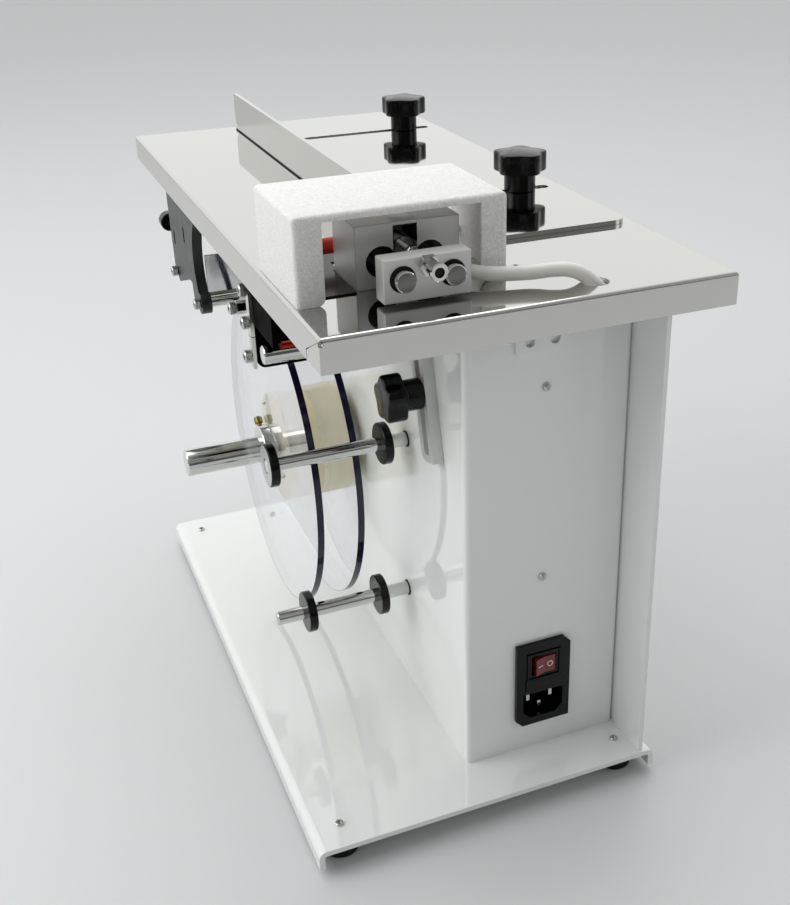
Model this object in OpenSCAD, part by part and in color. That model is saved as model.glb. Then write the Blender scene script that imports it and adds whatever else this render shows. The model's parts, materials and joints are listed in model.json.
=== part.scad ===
// Corner labeling machine: a reel of labels beside a white tower, a stainless
// table with a sliding fence, and a label head with a sprung trigger bar under
// a white hood. Millimetres, +Z up. X runs along the reel shaft, Y from the
// operator to the back. Places are measured from the table's near left corner
// and moved once, by at_origin(), so that the origin lies on the floor under
// the middle of the machine.

/* [Table] */
// Width of the table across the machine
table_w = 210; // [200:1:240]
// Depth of the table from the near to the far edge
table_d = 443; // [436:1:480]
// Thickness of the table sheet
table_t = 1.5; // [1:0.1:2]
// Height of the folded skirt round the table
skirt_h = 16.5; // [12:0.5:22]
// Length of the tab that folds round the near left corner
corner_tab = 20; // [14:0.5:26]

/* [Base] */
// Width of the base plate
base_w = 200; // [196:1:220]
// Depth of the base plate
base_d = 368; // [360:1:400]
// How far the base stands out to the left of the table
base_out = 16; // [10:1:22]
// How far the base's near edge stands behind the table's
base_back = 4; // [2:0.5:10]
// Thickness of the base sheet
base_t = 3; // [2:0.5:4]
// Height of the base's bent edges
base_flange = 11; // [8:0.5:12]
// Outside radius of the base's bends
base_bend = 4.5; // [4.2:0.1:6]
// Height of a rubber foot
foot_h = 12; // [10:0.5:16]
// Diameter of a rubber foot
foot_dia = 22; // [16:1:26]
// Distance of a foot's screw from the edges of the base
foot_inset = 16.5; // [15:0.5:20]

/* [Housing] */
// Height of the housing from the base to the table
body_h = 282; // [276:1:310]
// Left wall's distance from the table's left edge
body_x = 81; // [78:0.5:86]
// Front wall's distance from the table's near edge
body_y = 35; // [32:0.5:38]
// Width of the housing up to the side panel
body_w = 94; // [90:1:100]
// Depth of the housing
body_d = 305; // [295:1:320]
// Thickness of the housing sheet
wall_t = 2; // [1.5:0.1:3]
// Outside radius of the housing's bent corners
body_bend = 3.5; // [3.2:0.1:5]
// Thickness of the side panel
panel_t = 2.5; // [2:0.1:4]
// How far the side panel's edges stand inside the base's
panel_inset = 1.5; // [0.5:0.5:4]
// Thickness of the plate inside the left wall
backing_t = 6; // [5:0.5:8]

/* [Inlet] */
// Left edge of the inlet from the table's left edge
inlet_x = 110.5; // [106:0.5:114]
// Top edge of the inlet below the table top
inlet_drop = 211.5; // [200:0.5:220]
// Width of the inlet's bezel
inlet_w = 33; // [31:0.5:36]
// Height of the inlet's bezel
inlet_h = 54.5; // [54:0.5:58]
// How far the bezel stands out of the housing
inlet_lip = 2.5; // [2:0.1:4]
// Tilt of the rocker to either side
rocker_tilt = 8; // [5:1:9]

/* [Label reel] */
// Distance of the reel's axis from the table's near edge
reel_y = 224; // [222:1:230]
// Drop of the reel's axis below the table top
reel_drop = 158.5; // [156:0.5:162]
// Diameter of the clear discs
reel_dia = 197; // [180:1:200]
// Thickness of a clear disc
disc_t = 4; // [3:0.5:5]
// Outer disc's left face from the table's left edge
reel_x = 28.5; // [26:0.5:30]
// Space between the discs for the label roll
reel_gap = 20.5; // [16:0.5:22]
// Diameter of the hub that takes the label core
core_dia = 70; // [66:1:76]
// Wall of the hub's drum
hub_wall = 5; // [4:0.5:7]
// Diameter of the reel shaft
shaft_dia = 17; // [15:0.5:18]
// How far the shaft's free end stands out to the left of the table
shaft_out = 25.5; // [20:0.5:30]
// Width of the lock and stop collars
collar_ring = 6.4; // [5:0.1:8]
// Diameter of the lock and stop collars
collar_dia = 30; // [28:1:34]
// Lean of the collars' thumb screws from the vertical
collar_lean = 45; // [0:5:90]

/* [Guide rods] */
// Diameter of the guide rods
rod_dia = 8; // [7:0.5:9]
// Diameter of a guide collar
guide_dia = 24; // [20:1:25]
// Thickness of a guide collar
guide_t = 5; // [4:0.5:6]
// Upper rod's distance in front of the reel's axis
upper_ahead = 107; // [106:1:110]
// Upper rod's drop below the table top
upper_drop = 115; // [110:1:116]
// Lower rod's distance in front of the reel's axis
lower_ahead = 102; // [102:1:106]
// Lower rod's drop below the table top
lower_drop = 217; // [216:1:222]

/* [Slotted bar] */
// Thickness of the slotted bar
bar_t = 6; // [5:0.5:7]
// Width of the slotted bar
bar_w = 16; // [15:0.5:18]
// Lean of the bar from the vertical
bar_lean = 14; // [8:1:16]
// Bar knob's distance from the table's near edge
bar_y = 78; // [74:1:80]
// Bar knob's drop below the table top
bar_drop = 70; // [68:1:74]
// Diameter of the bar's star knob
bar_knob_dia = 27; // [24:1:30]
// Thickness of the bar knob's head
bar_head = 11; // [9:0.5:13]
// Length of the bar knob's neck
bar_neck = 10; // [8:0.5:12]
// Radius of the bar knob's neck
bar_neck_r = 8.3; // [7:0.1:9]

/* [Feed] */
// Diameter of the polished feed roller
feed_dia = 10; // [9:0.5:11]
// Feed roller's distance from the table's near edge
feed_y = 112; // [110:1:113]
// Feed roller's drop below the table top
feed_drop = 49; // [48:1:50]
// Diameter of the red pinch roller
pinch_dia = 16; // [14:0.5:17]
// Distance of the black bracket from the table's near edge
bracket_y = 138; // [134:1:140]
// Thickness of the bracket's back plate
bracket_back = 6; // [5:0.5:8]
// Drop of the bracket's lower edge below the table top
bracket_drop = 67; // [65:1:70]
// Thickness of the strip on the bracket's left edge
side_t = 2; // [1.5:0.1:3]
// Left face of the strip under the table, from the table's left edge
under_x = 3; // [2.5:0.5:4]
// Thickness of the rear bracket
rear_t = 6.5; // [6:0.5:8]
// Rear roller's distance behind the reel's axis
rear_behind = 69.5; // [68:0.5:72]
// Rear roller's drop below the table top
rear_drop = 81; // [78:0.5:82]
// Diameter of the rear roller
rear_dia = 7; // [6:0.5:7]
// Right end of the rear roller under the table
web_end = 62; // [58:1:66]

/* [Fence] */
// Left face of the fence's blade from the table's left edge
fence_x = 72; // [70:1:76]
// Height of the blade above the table
fence_h = 26; // [20:1:32]
// Thickness of the fence's sheet
fence_t = 2.5; // [1.5:0.1:3]
// Near edge of the fence's plate
fence_near = 94.5; // [90:0.5:98]
// Distance of the fence's far edge from the table's far edge
fence_far_gap = 11; // [6:1:16]
// Distance of the fence's right edge from the table's right edge
fence_right_gap = 5; // [2:0.5:8]
// Distance of the knobs from the table's right edge
knob_inset = 31; // [29:0.5:34]
// Near knob's distance from the table's near edge
knob_near_y = 175.5; // [165:0.5:185]
// Far knob's distance from the table's near edge
knob_far_y = 365.5; // [355:0.5:375]
// Diameter of a fence knob
knob_dia = 32; // [28:1:36]
// Thickness of a fence knob's head
knob_head = 11.5; // [9:0.5:14]
// Length of a fence knob's neck
knob_neck = 11; // [8:0.5:14]
// Radius of a fence knob's neck
knob_neck_r = 9.2; // [8:0.1:10]
// Diameter of the knobs' studs
stud_dia = 6; // [5:0.5:6]
// Travel of the fence to the right
fence_travel = 71; // [50:1:72]

/* [Label head] */
// Left wall of the hood from the table's left edge
hood_x = 2; // [1:0.5:3]
// Front wall of the hood from the table's near edge
hood_y = 38; // [37.5:0.5:40]
// Width of the hood
hood_w = 103.5; // [103:0.5:108]
// Depth of the hood
hood_d = 64; // [62:0.5:68]
// Height of the hood
hood_h = 42; // [40:0.5:46]
// Thickness of the hood's sheet
hood_t = 2; // [1.5:0.1:2.5]
// Width of the legs beside the hood's opening
hood_leg = 13.5; // [12:0.5:14]
// Left face of the head block from the table's left edge
block_x = 34; // [33:0.5:36]
// Width of the head block
block_w = 52; // [51:0.5:54]
// Front face of the head block from the table's near edge
block_y = 50; // [50:0.5:52]
// Depth of the head block
block_d = 33; // [30:0.5:36]
// Height of the head block
block_h = 31; // [29:0.5:33]
// Width of the trigger bar
trigger_w = 42.5; // [40:0.5:43]
// Height of the trigger bar
trigger_h = 20.5; // [19:0.5:22]
// Thickness of the trigger bar
trigger_t = 10; // [8:0.5:11]
// Gap between the trigger bar and the head block
trigger_gap = 17.5; // [17:0.5:18]
// Travel of the trigger bar
trigger_travel = 6; // [4:0.5:6]
// Diameter of the guide pins
pin_dia = 10; // [8:0.5:11]
// Distance between the guide pins
pin_pitch = 24; // [22:0.5:26]
// Diameter of the red press roller
press_dia = 8; // [7.5:0.5:10]
// Diameter of the white cable
cable_dia = 7; // [6:0.5:7]

/* [Fits] */
// Radial clearance of a running or sliding fit
run_fit = 0.05; // [0.02:0.01:0.1]
// Gap between faces that move past each other
slide_gap = 0.1; // [0.05:0.05:0.2]
// Gap between round parts that pass without touching
round_gap = 0.4; // [0.3:0.1:0.6]

/* [Edges] */
// Chamfer on turned and milled edges
edge_cut = 0.5; // [0.3:0.1:0.8]
// Outside radius of the table's bends
table_bend = 2; // [1.6:0.1:2.5]

/* [Hidden] */
$fn = 64;
eps = 0.5;

// Heights
base_top = foot_h + base_t;
under_z = base_top + body_h;
table_z = under_z + table_t;
reel_z = table_z - reel_drop;
upper_z = table_z - upper_drop;
lower_z = table_z - lower_drop;
feed_z = table_z - feed_drop;
rear_z = table_z - rear_drop;
bar_z = table_z - bar_drop;

// Places along the table that follow the reel
upper_y = reel_y - upper_ahead;
lower_y = reel_y - lower_ahead;
rear_y = reel_y + rear_behind;

// Base and housing
base_x0 = -base_out;
base_x1 = base_x0 + base_w;
base_y1 = base_back + base_d;
foot_xs = [base_x0 + foot_inset, base_x1 - foot_inset];
foot_ys = [base_back + foot_inset, base_y1 - foot_inset];
foot_screw_r = 2;
foot_head_r = 2.8;
foot_head_h = 1.6;
body_x1 = body_x + body_w;
body_y1 = body_y + body_d;
body_flange = 12;
panel_y0 = base_back + panel_inset;
panel_y1 = base_y1 - panel_inset;
inner_x = body_x + wall_t;
inner_y = body_y + wall_t;
backing_x1 = inner_x + backing_t;
backing_margin = 22;
backing_y0 = feed_y - backing_margin;
backing_y1 = reel_y + backing_margin;
backing_z0 = lower_z - backing_margin;
backing_z1 = feed_z + backing_margin;
spigot_r = 3;
shaft_spigot_r = 6;
screw_r = 1.5;
screw_head_r = 2.3;
screw_head_h = 1.6;
front_screw_x = body_x + body_w / 2 - 2;
front_screw_drops = [58.5, 170];
panel_screw_ys = [body_y + 6, body_y1 - 6];
panel_screw_zs = [base_top + 40, under_z - 40];

// Slit and relief hole where the tab folds round the table's near left corner
corner_drop = 0.7 * skirt_h;
corner_slit = 0.6;
corner_relief = 1.5;

// Table lug on the front wall
lug_x0 = 108;
lug_w = 29;
lug_t = 2;
lug_drop = 38;
lug_reach = 11;
lug_slot_r = 2.6;
lug_slot_drops = [20, 32.6];
lug_screw_xs = [lug_x0 + 7.5, lug_x0 + lug_w - 7.5];
lug_screw_drop = 25;
lug_head_r = lug_slot_r + 1.4;

// Inlet, with places measured down from the bezel's top edge
inlet_cx = inlet_x + inlet_w / 2;
inlet_top = table_z - inlet_drop;
inlet_body_w = inlet_w - 5;
inlet_body_d = 30;
rocker_w = 13.4;
rocker_h = 10.6;
rocker_down = 15;
rocker_gap = 0.7;
rocker_deep = 11;
rocker_proud = 0.6;
rocker_pin_r = 1.2;
rocker_pin = 1.2;
drawer_w = 22;
drawer_h = 6.5;
drawer_down = 27;
drawer_deep = 20;
drawer_gap = 0.15;
drawer_lip = 0.8;
socket_w = 24.5;
socket_h = 16.5;
socket_down = 41.5;
socket_deep = 17;
socket_cut = 4.5;
inlet_pin_w = 2;
inlet_pin_h = 4;
inlet_pin_pitch = 14;
inlet_pin_step = 4;
inlet_pin_back = 5;

// Reel, from left to right
shaft_r = shaft_dia / 2;
core_r = core_dia / 2;
disc_r = reel_dia / 2;
hub_x0 = reel_x + disc_t;
inner_disc_x = hub_x0 + reel_gap;
hub_step_x = inner_disc_x + disc_t;
hub_step = 0.6;
hub_web = 5;
hub_boss_r = shaft_r + 7;
shaft_shoulder = 3;
shaft_shoulder_r = shaft_r + 4;
collar_r = collar_dia / 2;
lock_x = reel_x - slide_gap - collar_ring;
stop_x = body_x - shaft_shoulder - slide_gap - collar_ring;
hub_x1 = stop_x - slide_gap;
thumb_r = 2.6;
thumb_h = 4.5;
thumb_neck = 2;
thumb_stem_r = 1.5;

// Guide rods and collars
rod_r = rod_dia / 2;
guide_r = guide_dia / 2;
upper_collar_xs = [0, 64.7];
lower_collar_xs = [16.4, 60.5];

// Slotted bar, along its own length from the knob
bar_up = 46;
bar_down = 37;
bar_slot_up = 24;
bar_slot_down = 30;
stud_r = stud_dia / 2;
slot_r = stud_r + 0.3;
bar_x0 = body_x - slide_gap - bar_t;
sensor_len = 30;
sensor_w = 12;
sensor_jaw = 4;
sensor_gap = 6;

// Feed frame under the table
feed_r = feed_dia / 2;
pinch_r = pinch_dia / 2;
pinch_z = feed_z + feed_r + pinch_r + round_gap;
journal_r = feed_r - 1;
feed_x0 = 2;
feed_x1 = body_x - slide_gap;
bracket_t = 3;
bracket_x0 = under_x + side_t;
bracket_x1 = 68;
cheek_y0 = feed_y - pinch_r - round_gap - bracket_t;
cheek_z0 = pinch_z - 6;
front_z0 = cheek_z0 + 3;
flange_t = 3;
axle_r = 3;
axle_skin = 1;
pinch_end = 4;
strip_y = bracket_y + bracket_back / 2;
strip_drops = [22.7, 40.9, 60.2];
strip_split = 48.7;
strip_gap = 0.4;
web_bar_r = 4;
web_bar_y = reel_y - 54.5;
web_bar_z = table_z - 42.2;
cap_r = 3.4;
cap_h = 4.2;
cap_socket_r = 1.7;
cap_socket_h = 2;
cap_stem_r = 2;
cap_stem = 8;

// Rear bracket, from the rear roller
rear_x0 = under_x + 3.5;
rear_x1 = rear_x0 + rear_t;
rear_tip_r = 7;
rear_edge_r = 35;
rear_edge_y = rear_y - 26;
rear_edge_z = rear_z + 27.4;
rear_far = 84;
rear_pin_r = 2.5;
rear_slot_r = 2;
rear_slot_len = 7;
rear_slots = [[34, 37], [70, 26]];
rear_low = [72, 1];
thumb_knob_r = 6.5;
thumb_knob_len = 9;
thumb_knob_up = 28;
thumb_stud_r = 2;
thumb_stud_len = 9;
thumb_reach = 16;

// Plate behind the rear roller that the label web slides over
guide_y = rear_y + rear_dia / 2 + 1;
guide_plate_t = 2;
guide_z0 = rear_z + 2.5;
guide_z1 = rear_z + 30;

// Fence and its knobs
knob_x = table_w - knob_inset;
fence_x1 = table_w - fence_right_gap;
fence_y1 = table_d - fence_far_gap;
fence_z0 = table_z + slide_gap;
fence_z1 = fence_z0 + fence_t;
fence_corner = 8;
fence_slack = 15;
fence_notch_x = hood_x + hood_w + fence_slack + 1;
fence_notch_y = hood_y + hood_d + 4;
slot_x0 = knob_x - fence_travel;
slot_x1 = knob_x + fence_slack;
fence_slot_r = stud_r + 0.5;
bush_r = 6;
bush_h = 8;
bush_seat_r = 4.5;
stud_len = fence_t + table_t + bush_h;
knob_z = fence_z1 + slide_gap;
lobes = 5;
knob_turn = -8;
knob_edge = 1;
bar_knob_turn = 7;
bar_knob_edge = 2.2;

// Label head
hood_x1 = hood_x + hood_w;
hood_y1 = hood_y + hood_d;
hood_bend = 3;
hood_strip = 3.6;
hood_leg_round = 4;
block_x1 = block_x + block_w;
block_y1 = block_y + block_d;
trigger_y1 = block_y - trigger_gap;
trigger_y0 = trigger_y1 - trigger_t;
trigger_cx = block_x + block_w / 2 - 1.3;
trigger_z0 = table_z + 2;
pin_r = pin_dia / 2;
pin_z = trigger_z0 + trigger_h / 2 + 0.6;
pin_proud = 5;
pin_xs = [trigger_cx - pin_pitch / 2, trigger_cx + pin_pitch / 2];
bush_wall = 2.5;
guide_bush_r = pin_r + run_fit + bush_wall;
sensor_z = trigger_z0 + trigger_h - 4.1;
barrel_r = 3.6;
barrel_bore_r = 2.4;
barrel_len = 14;
barrel_lip = 3;
barrel_nut_r = 5;
barrel_nut_h = 4;
push_r = 1.6;
push_shoulder_r = 4.6;
push_shoulder_h = 1.5;
keyway_w = 12;
keyway_d = 18;
keyway_z0 = sensor_z - 6.5;
spring_r = 3.6;
wire_r = 0.55;
spring_turns = 7;
spring_y0 = block_y + 2 + push_shoulder_h;
spring_y1 = block_y + keyway_d;
push_y1 = spring_y1 - trigger_travel - 1;
press_r = press_dia / 2;
press_axle_r = 2;
press_seat = 1;
press_end = 12;
label_slot = [37, 78, 88, 95];
press_y = (label_slot[2] + label_slot[3]) / 2 - 0.5;
press_z = table_z + 11;
press_x0 = label_slot[0] - press_end;
press_x1 = label_slot[1] + press_end / 2;
press_axle_x0 = hood_x + hood_t - press_seat;
press_axle_x1 = hood_x + hood_w - hood_t + press_seat;
cable_hole = [141, 17, 6.8];
cable_r = cable_dia / 2;
cable_wall_r = 5;

// Drive inside the housing
belt_t = 1.5;
pulley_w = 10;
pulley_x0 = backing_x1 + 6;
pulley_x1 = pulley_x0 + pulley_w;
drive_r = 14;
motor_pulley_r = 8;
rim_t = 1;
rim_lip = 2.2;
motor_side = 42;
motor_len = 40;
motor_pitch = 31;
motor_cut = 4;
motor_boss_r = 11;
motor_boss = 2;
belt_span = 62;
motor_y = feed_y + belt_span;
motor_x0 = pulley_x1 + 8;
motor_shaft_r = 2.5;
motor_seat = 8;
post_r = 3.5;

// Power supply and control board
supply_w = 60;
supply_d = 110;
supply_h = 38;
supply_back = 40;
supply_feet = 6;
supply_foot_r = 4;
supply_foot_in = 9;
supply_x1 = body_x1 - 8;
supply_y1 = body_y1 - supply_back;
board_off = 8;
board_t = 1.6;
board_d = 86;
board_h = 76;
board_post_r = 3;
board_post_in = 6;
terminal_w = 14;
terminal_h = 13;

// The cable's route, from the block's face to the terminal block inside
cable_route = [[82.5, 50, 7], [82.5, 47, 7], [83, 43, 7], [85.6, 37.6, 6.8], [90.8, 32.8, 6.4],
    [98, 29.8, 6], [106, 27.6, 5.8], [114, 25.4, 6], [122, 22.6, 6.8], [129, 20.2, 6.4],
    [135, 18.4, 3.8], [140, 17, -0.4], [145, 17.4, -5], [150.5, 20, -8.6], [154.4, 25, -10],
    [156, 31, -10], [156, 38, -10], [156, 46, -10]];
terminal_y = 46;
terminal_x = 156;
terminal_drop = 10;

module at_origin() {
    translate([-(table_w - shaft_out) / 2, -table_d / 2, 0]) children();
}

module slab(x0, x1, y0, y1, z0, z1) {
    translate([x0, y0, z0]) cube([x1 - x0, y1 - y0, z1 - z0]);
}

module x_rod(x0, x1, y, z, r) {
    translate([x0, y, z]) rotate([0, 90, 0]) cylinder(h = x1 - x0, r = r);
}

module y_rod(y0, y1, x, z, r) {
    translate([x, y0, z]) rotate([-90, 0, 0]) cylinder(h = y1 - y0, r = r);
}

module z_rod(z0, z1, x, y, r) {
    translate([x, y, z0]) cylinder(h = z1 - z0, r = r);
}

// A bar on +Z with both ends chamfered
module turned(h, r, edge) {
    rotate_extrude()
        polygon([[0, 0], [r - edge, 0], [r, edge], [r, h - edge], [r - edge, h], [0, h]]);
}

module x_turned(x0, x1, y, z, r) {
    translate([x0, y, z]) rotate([0, 90, 0]) turned(x1 - x0, r, edge_cut);
}

module y_turned(y0, y1, x, z, r) {
    translate([x, y0, z]) rotate([-90, 0, 0]) turned(y1 - y0, r, edge_cut);
}

// A YZ outline made x0 to x1 thick
module x_plate(x0, x1) {
    translate([x0, 0, 0]) rotate([90, 0, 90]) linear_extrude(x1 - x0) children();
}

// An XZ outline made y0 to y1 thick
module y_plate(y0, y1) {
    translate([0, y1, 0]) rotate([90, 0, 0]) linear_extrude(y1 - y0) children();
}

module rect2d(u0, u1, v0, v1) {
    translate([u0, v0]) square([u1 - u0, v1 - v0]);
}

module round_rect2d(u0, u1, v0, v1, r) {
    rect2d(u0 + r, u1 - r, v0, v1);
    rect2d(u0, u1, v0 + r, v1 - r);
    for (u = [u0 + r, u1 - r])
        for (v = [v0 + r, v1 - r])
            translate([u, v]) circle(r);
}

// A rectangle with only its upper corners round, as a sheet bent down has
module arch2d(u0, u1, v0, v1, r) {
    rect2d(u0 + r, u1 - r, v0, v1);
    rect2d(u0, u1, v0, v1 - r);
    for (u = [u0 + r, u1 - r])
        translate([u, v1 - r]) circle(r);
}

// A rectangle with its corners cut
module cut2d(u0, u1, v0, v1, c) {
    polygon([[u0 + c, v0], [u1 - c, v0], [u1, v0 + c], [u1, v1 - c], [u1 - c, v1], [u0 + c, v1],
        [u0, v1 - c], [u0, v0 + c]]);
}

// A milled block with every edge chamfered
module milled(x0, x1, y0, y1, z0, z1) {
    intersection() {
        y_plate(y0, y1) cut2d(x0, x1, z0, z1, edge_cut);
        x_plate(x0, x1) cut2d(y0, y1, z0, z1, edge_cut);
        translate([0, 0, z0]) linear_extrude(z1 - z0) cut2d(x0, x1, y0, y1, edge_cut);
    }
}

// Space under a sheet whose four sides are bent down
module tray(x0, x1, y0, y1, z0, z1, r) {
    intersection() {
        y_plate(y0, y1) arch2d(x0, x1, z0, z1, r);
        x_plate(x0, x1) arch2d(y0, y1, z0, z1, r);
    }
}

module slot2d(u0, u1, v, r) {
    rect2d(u0, u1, v - r, v + r);
    for (u = [u0, u1])
        translate([u, v]) circle(r);
}

// Star knob on +Z with its seat at z = 0 and its stud below
module star_knob(dia, head_h, neck_h, neck_r, stud_len, edge) {
    r = dia / 2;
    scallop_r = r * 0.4;
    intersection() {
        translate([0, 0, neck_h]) linear_extrude(head_h)
            difference() {
                circle(r);
                for (i = [0:lobes - 1])
                    rotate(i * 360 / lobes) translate([r * 1.2, 0]) circle(scallop_r);
            }
        translate([0, 0, neck_h]) rotate_extrude()
            polygon([[0, 0], [r - edge, 0], [r, edge], [r, head_h - edge - 0.3], [r - edge, head_h - 0.3],
                [r * 0.55, head_h], [0, head_h]]);
    }
    cylinder(h = neck_h, r = neck_r);
    translate([0, 0, -stud_len]) cylinder(h = stud_len + eps, r = stud_r);
}

// Socket-head cap screw whose head stands left of x = seat
module cap_screw(seat, y, z, stem_x1) {
    difference() {
        x_turned(seat - cap_h, seat, y, z, cap_r);
        translate([seat - cap_h - eps, y, z]) rotate([0, 90, 0])
            cylinder(h = cap_socket_h + eps, r = cap_socket_r, $fn = 6);
    }
    x_rod(seat - eps, stem_x1, y, z, cap_stem_r);
}

module pan_screw_front(x, z, seat, stem, head_r) {
    y_rod(seat - screw_head_h, seat, x, z, head_r);
    y_rod(seat - eps, seat + stem, x, z, screw_r);
}

module base_plate() at_origin() color("white") difference() {
    y_plate(base_back, base_y1) difference() {
        arch2d(base_x0, base_x1, base_top - base_flange, base_top, base_bend);
        arch2d(base_x0 + base_t, base_x1 - base_t, base_top - base_flange - eps,
            base_top - base_t, base_bend - base_t);
    }
    for (x = foot_xs)
        for (y = foot_ys)
            z_rod(foot_h - eps, base_top + eps, x, y, foot_screw_r + run_fit);
}

module rubber_feet() at_origin() color("black") for (x = foot_xs) for (y = foot_ys)
    difference() {
        translate([x, y, 0]) rotate_extrude()
            polygon([[0, 0], [foot_dia / 2 - 2, 0], [foot_dia / 2 - 1, 1], [foot_dia / 2, foot_h],
                [0, foot_h]]);
        z_rod(foot_h / 2, foot_h + eps, x, y, foot_screw_r + run_fit);
    }

module foot_screws() at_origin() color("silver") for (x = foot_xs) for (y = foot_ys) {
    z_rod(foot_h / 2 + eps, base_top, x, y, foot_screw_r);
    z_rod(base_top, base_top + foot_head_h, x, y, foot_head_r);
}

module housing() at_origin() color("white") difference() {
    union() {
        translate([0, 0, base_top]) linear_extrude(body_h) difference() {
            round_rect2d(body_x, body_x1, body_y, body_y1, body_bend);
            round_rect2d(inner_x, body_x1 - wall_t, inner_y, body_y1 - wall_t, body_bend - wall_t);
            rect2d(body_x1 - wall_t - eps, body_x1 + eps, inner_y + body_flange,
                body_y1 - wall_t - body_flange);
        }
        slab(inner_x - eps, inner_x + body_flange, inner_y + body_flange,
            body_y1 - wall_t - body_flange, base_top, base_top + wall_t);
    }
    slab(inlet_cx - inlet_body_w / 2, inlet_cx + inlet_body_w / 2, body_y - eps, inner_y + eps,
        inlet_top - inlet_h + 2, inlet_top - 2);
    x_rod(body_x - eps, inner_x + eps, reel_y, reel_z, shaft_spigot_r + run_fit);
    x_rod(body_x - eps, inner_x + eps, upper_y, upper_z, spigot_r + run_fit);
    x_rod(body_x - eps, inner_x + eps, lower_y, lower_z, spigot_r + run_fit);
    x_rod(body_x - eps, inner_x + eps, feed_y, feed_z, journal_r + round_gap);
    x_rod(body_x - eps, inner_x + eps, bar_y, bar_z, stud_r + run_fit);
    y_rod(body_y - eps, inner_y + eps, terminal_x, table_z - terminal_drop, cable_wall_r);
    for (drop = front_screw_drops)
        y_rod(body_y - eps, inner_y + eps, front_screw_x, table_z - drop, screw_r + run_fit);
    for (x = lug_screw_xs)
        y_rod(body_y - eps, inner_y + eps, x, table_z - lug_screw_drop, screw_r + run_fit);
    for (y = panel_screw_ys)
        for (z = panel_screw_zs)
            x_rod(body_x1 - wall_t - eps, body_x1 + eps, y, z, screw_r + run_fit);
}

// Notched at the top where the knobs' bushes hang below the table
module side_panel() at_origin() color("white") difference() {
    slab(body_x1, body_x1 + panel_t, panel_y0, panel_y1, base_top, under_z);
    for (y = [knob_near_y, knob_far_y])
        slab(body_x1 - eps, body_x1 + panel_t + eps, y - bush_r - 1, y + bush_r + 1,
            under_z - bush_h - 1, under_z + eps);
    for (y = panel_screw_ys)
        for (z = panel_screw_zs)
            x_rod(body_x1 - eps, body_x1 + panel_t + eps, y, z, screw_r + run_fit);
}

module housing_screws() at_origin() color("silver") {
    for (drop = front_screw_drops)
        pan_screw_front(front_screw_x, table_z - drop, body_y, 6, screw_head_r);
    for (x = lug_screw_xs)
        pan_screw_front(x, table_z - lug_screw_drop, body_y - lug_t, 8, lug_head_r);
    for (y = panel_screw_ys)
        for (z = panel_screw_zs) {
            x_rod(body_x1 + panel_t, body_x1 + panel_t + screw_head_h, y, z, screw_head_r);
            x_rod(body_x1 - wall_t - 2, body_x1 + panel_t + eps, y, z, screw_r);
        }
}

// Plate behind the left wall that carries the shaft, the rods and the motor on its posts
module backing_plate() at_origin() color("silver") difference() {
    union() {
        slab(inner_x, backing_x1, backing_y0, backing_y1, backing_z0, backing_z1);
        for (y = [-1, 1])
            for (z = [-1, 1])
                x_rod(backing_x1 - eps, motor_x0, motor_y + y * motor_pitch / 2,
                    feed_z + z * motor_pitch / 2, post_r);
    }
    x_rod(inner_x - eps, backing_x1 + eps, reel_y, reel_z, shaft_spigot_r + run_fit);
    x_rod(inner_x - eps, backing_x1 + eps, upper_y, upper_z, spigot_r + run_fit);
    x_rod(inner_x - eps, backing_x1 + eps, lower_y, lower_z, spigot_r + run_fit);
    x_rod(inner_x - eps, backing_x1 + eps, feed_y, feed_z, journal_r + run_fit);
}

module table_top() at_origin() color("lightgray") difference() {
    tray(0, table_w, 0, table_d, table_z - skirt_h, table_z, table_bend);
    tray(table_t, table_w - table_t, table_t, table_d - table_t, table_z - skirt_h - eps, under_z,
        table_bend - table_t);
    x_plate(-eps, table_t + eps) polygon([[corner_relief, table_z - 2], [corner_tab, table_z - corner_drop],
        [corner_tab, table_z - skirt_h - eps], [corner_tab + corner_slit, table_z - skirt_h - eps],
        [corner_tab + corner_slit, table_z - corner_drop + corner_slit / 2],
        [corner_relief, table_z - 2 + corner_slit]]);
    translate([corner_relief / 2, corner_relief / 2, table_z - 2.4]) sphere(corner_relief);
    slab(label_slot[0], label_slot[1], label_slot[2], label_slot[3], under_z - eps, table_z + eps);
    z_rod(under_z - eps, table_z + eps, cable_hole[0], cable_hole[1], cable_hole[2]);
    for (y = [knob_near_y, knob_far_y])
        z_rod(under_z - eps, table_z + eps, knob_x, y, bush_seat_r + run_fit);
}

module table_lug() at_origin() color("white") difference() {
    union() {
        slab(lug_x0, lug_x0 + lug_w, body_y - lug_t, body_y, table_z - lug_drop, under_z);
        slab(lug_x0, lug_x0 + lug_w, body_y - lug_reach, body_y, under_z - lug_t, under_z);
    }
    for (x = lug_screw_xs)
        y_plate(body_y - lug_t - eps, body_y + eps) {
            rect2d(x - lug_slot_r, x + lug_slot_r, table_z - lug_slot_drops[1],
                table_z - lug_slot_drops[0]);
            for (drop = lug_slot_drops)
                translate([x, table_z - drop]) circle(lug_slot_r);
        }
}

module table_bushes() at_origin() color("silver") for (y = [knob_near_y, knob_far_y])
    difference() {
        union() {
            z_rod(under_z - bush_h, under_z, knob_x, y, bush_r);
            z_rod(under_z - eps, table_z, knob_x, y, bush_seat_r);
        }
        z_rod(under_z - bush_h - eps, table_z + eps, knob_x, y, stud_r + run_fit);
    }

module socket2d(grow) {
    w = socket_w / 2 + grow;
    h = socket_h / 2 + grow;
    z = inlet_top - socket_down;
    polygon([[inlet_cx - w, z + h], [inlet_cx + w, z + h], [inlet_cx + w, z - h + socket_cut],
        [inlet_cx + w - socket_cut, z - h], [inlet_cx - w + socket_cut, z - h],
        [inlet_cx - w, z - h + socket_cut]]);
}

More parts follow.
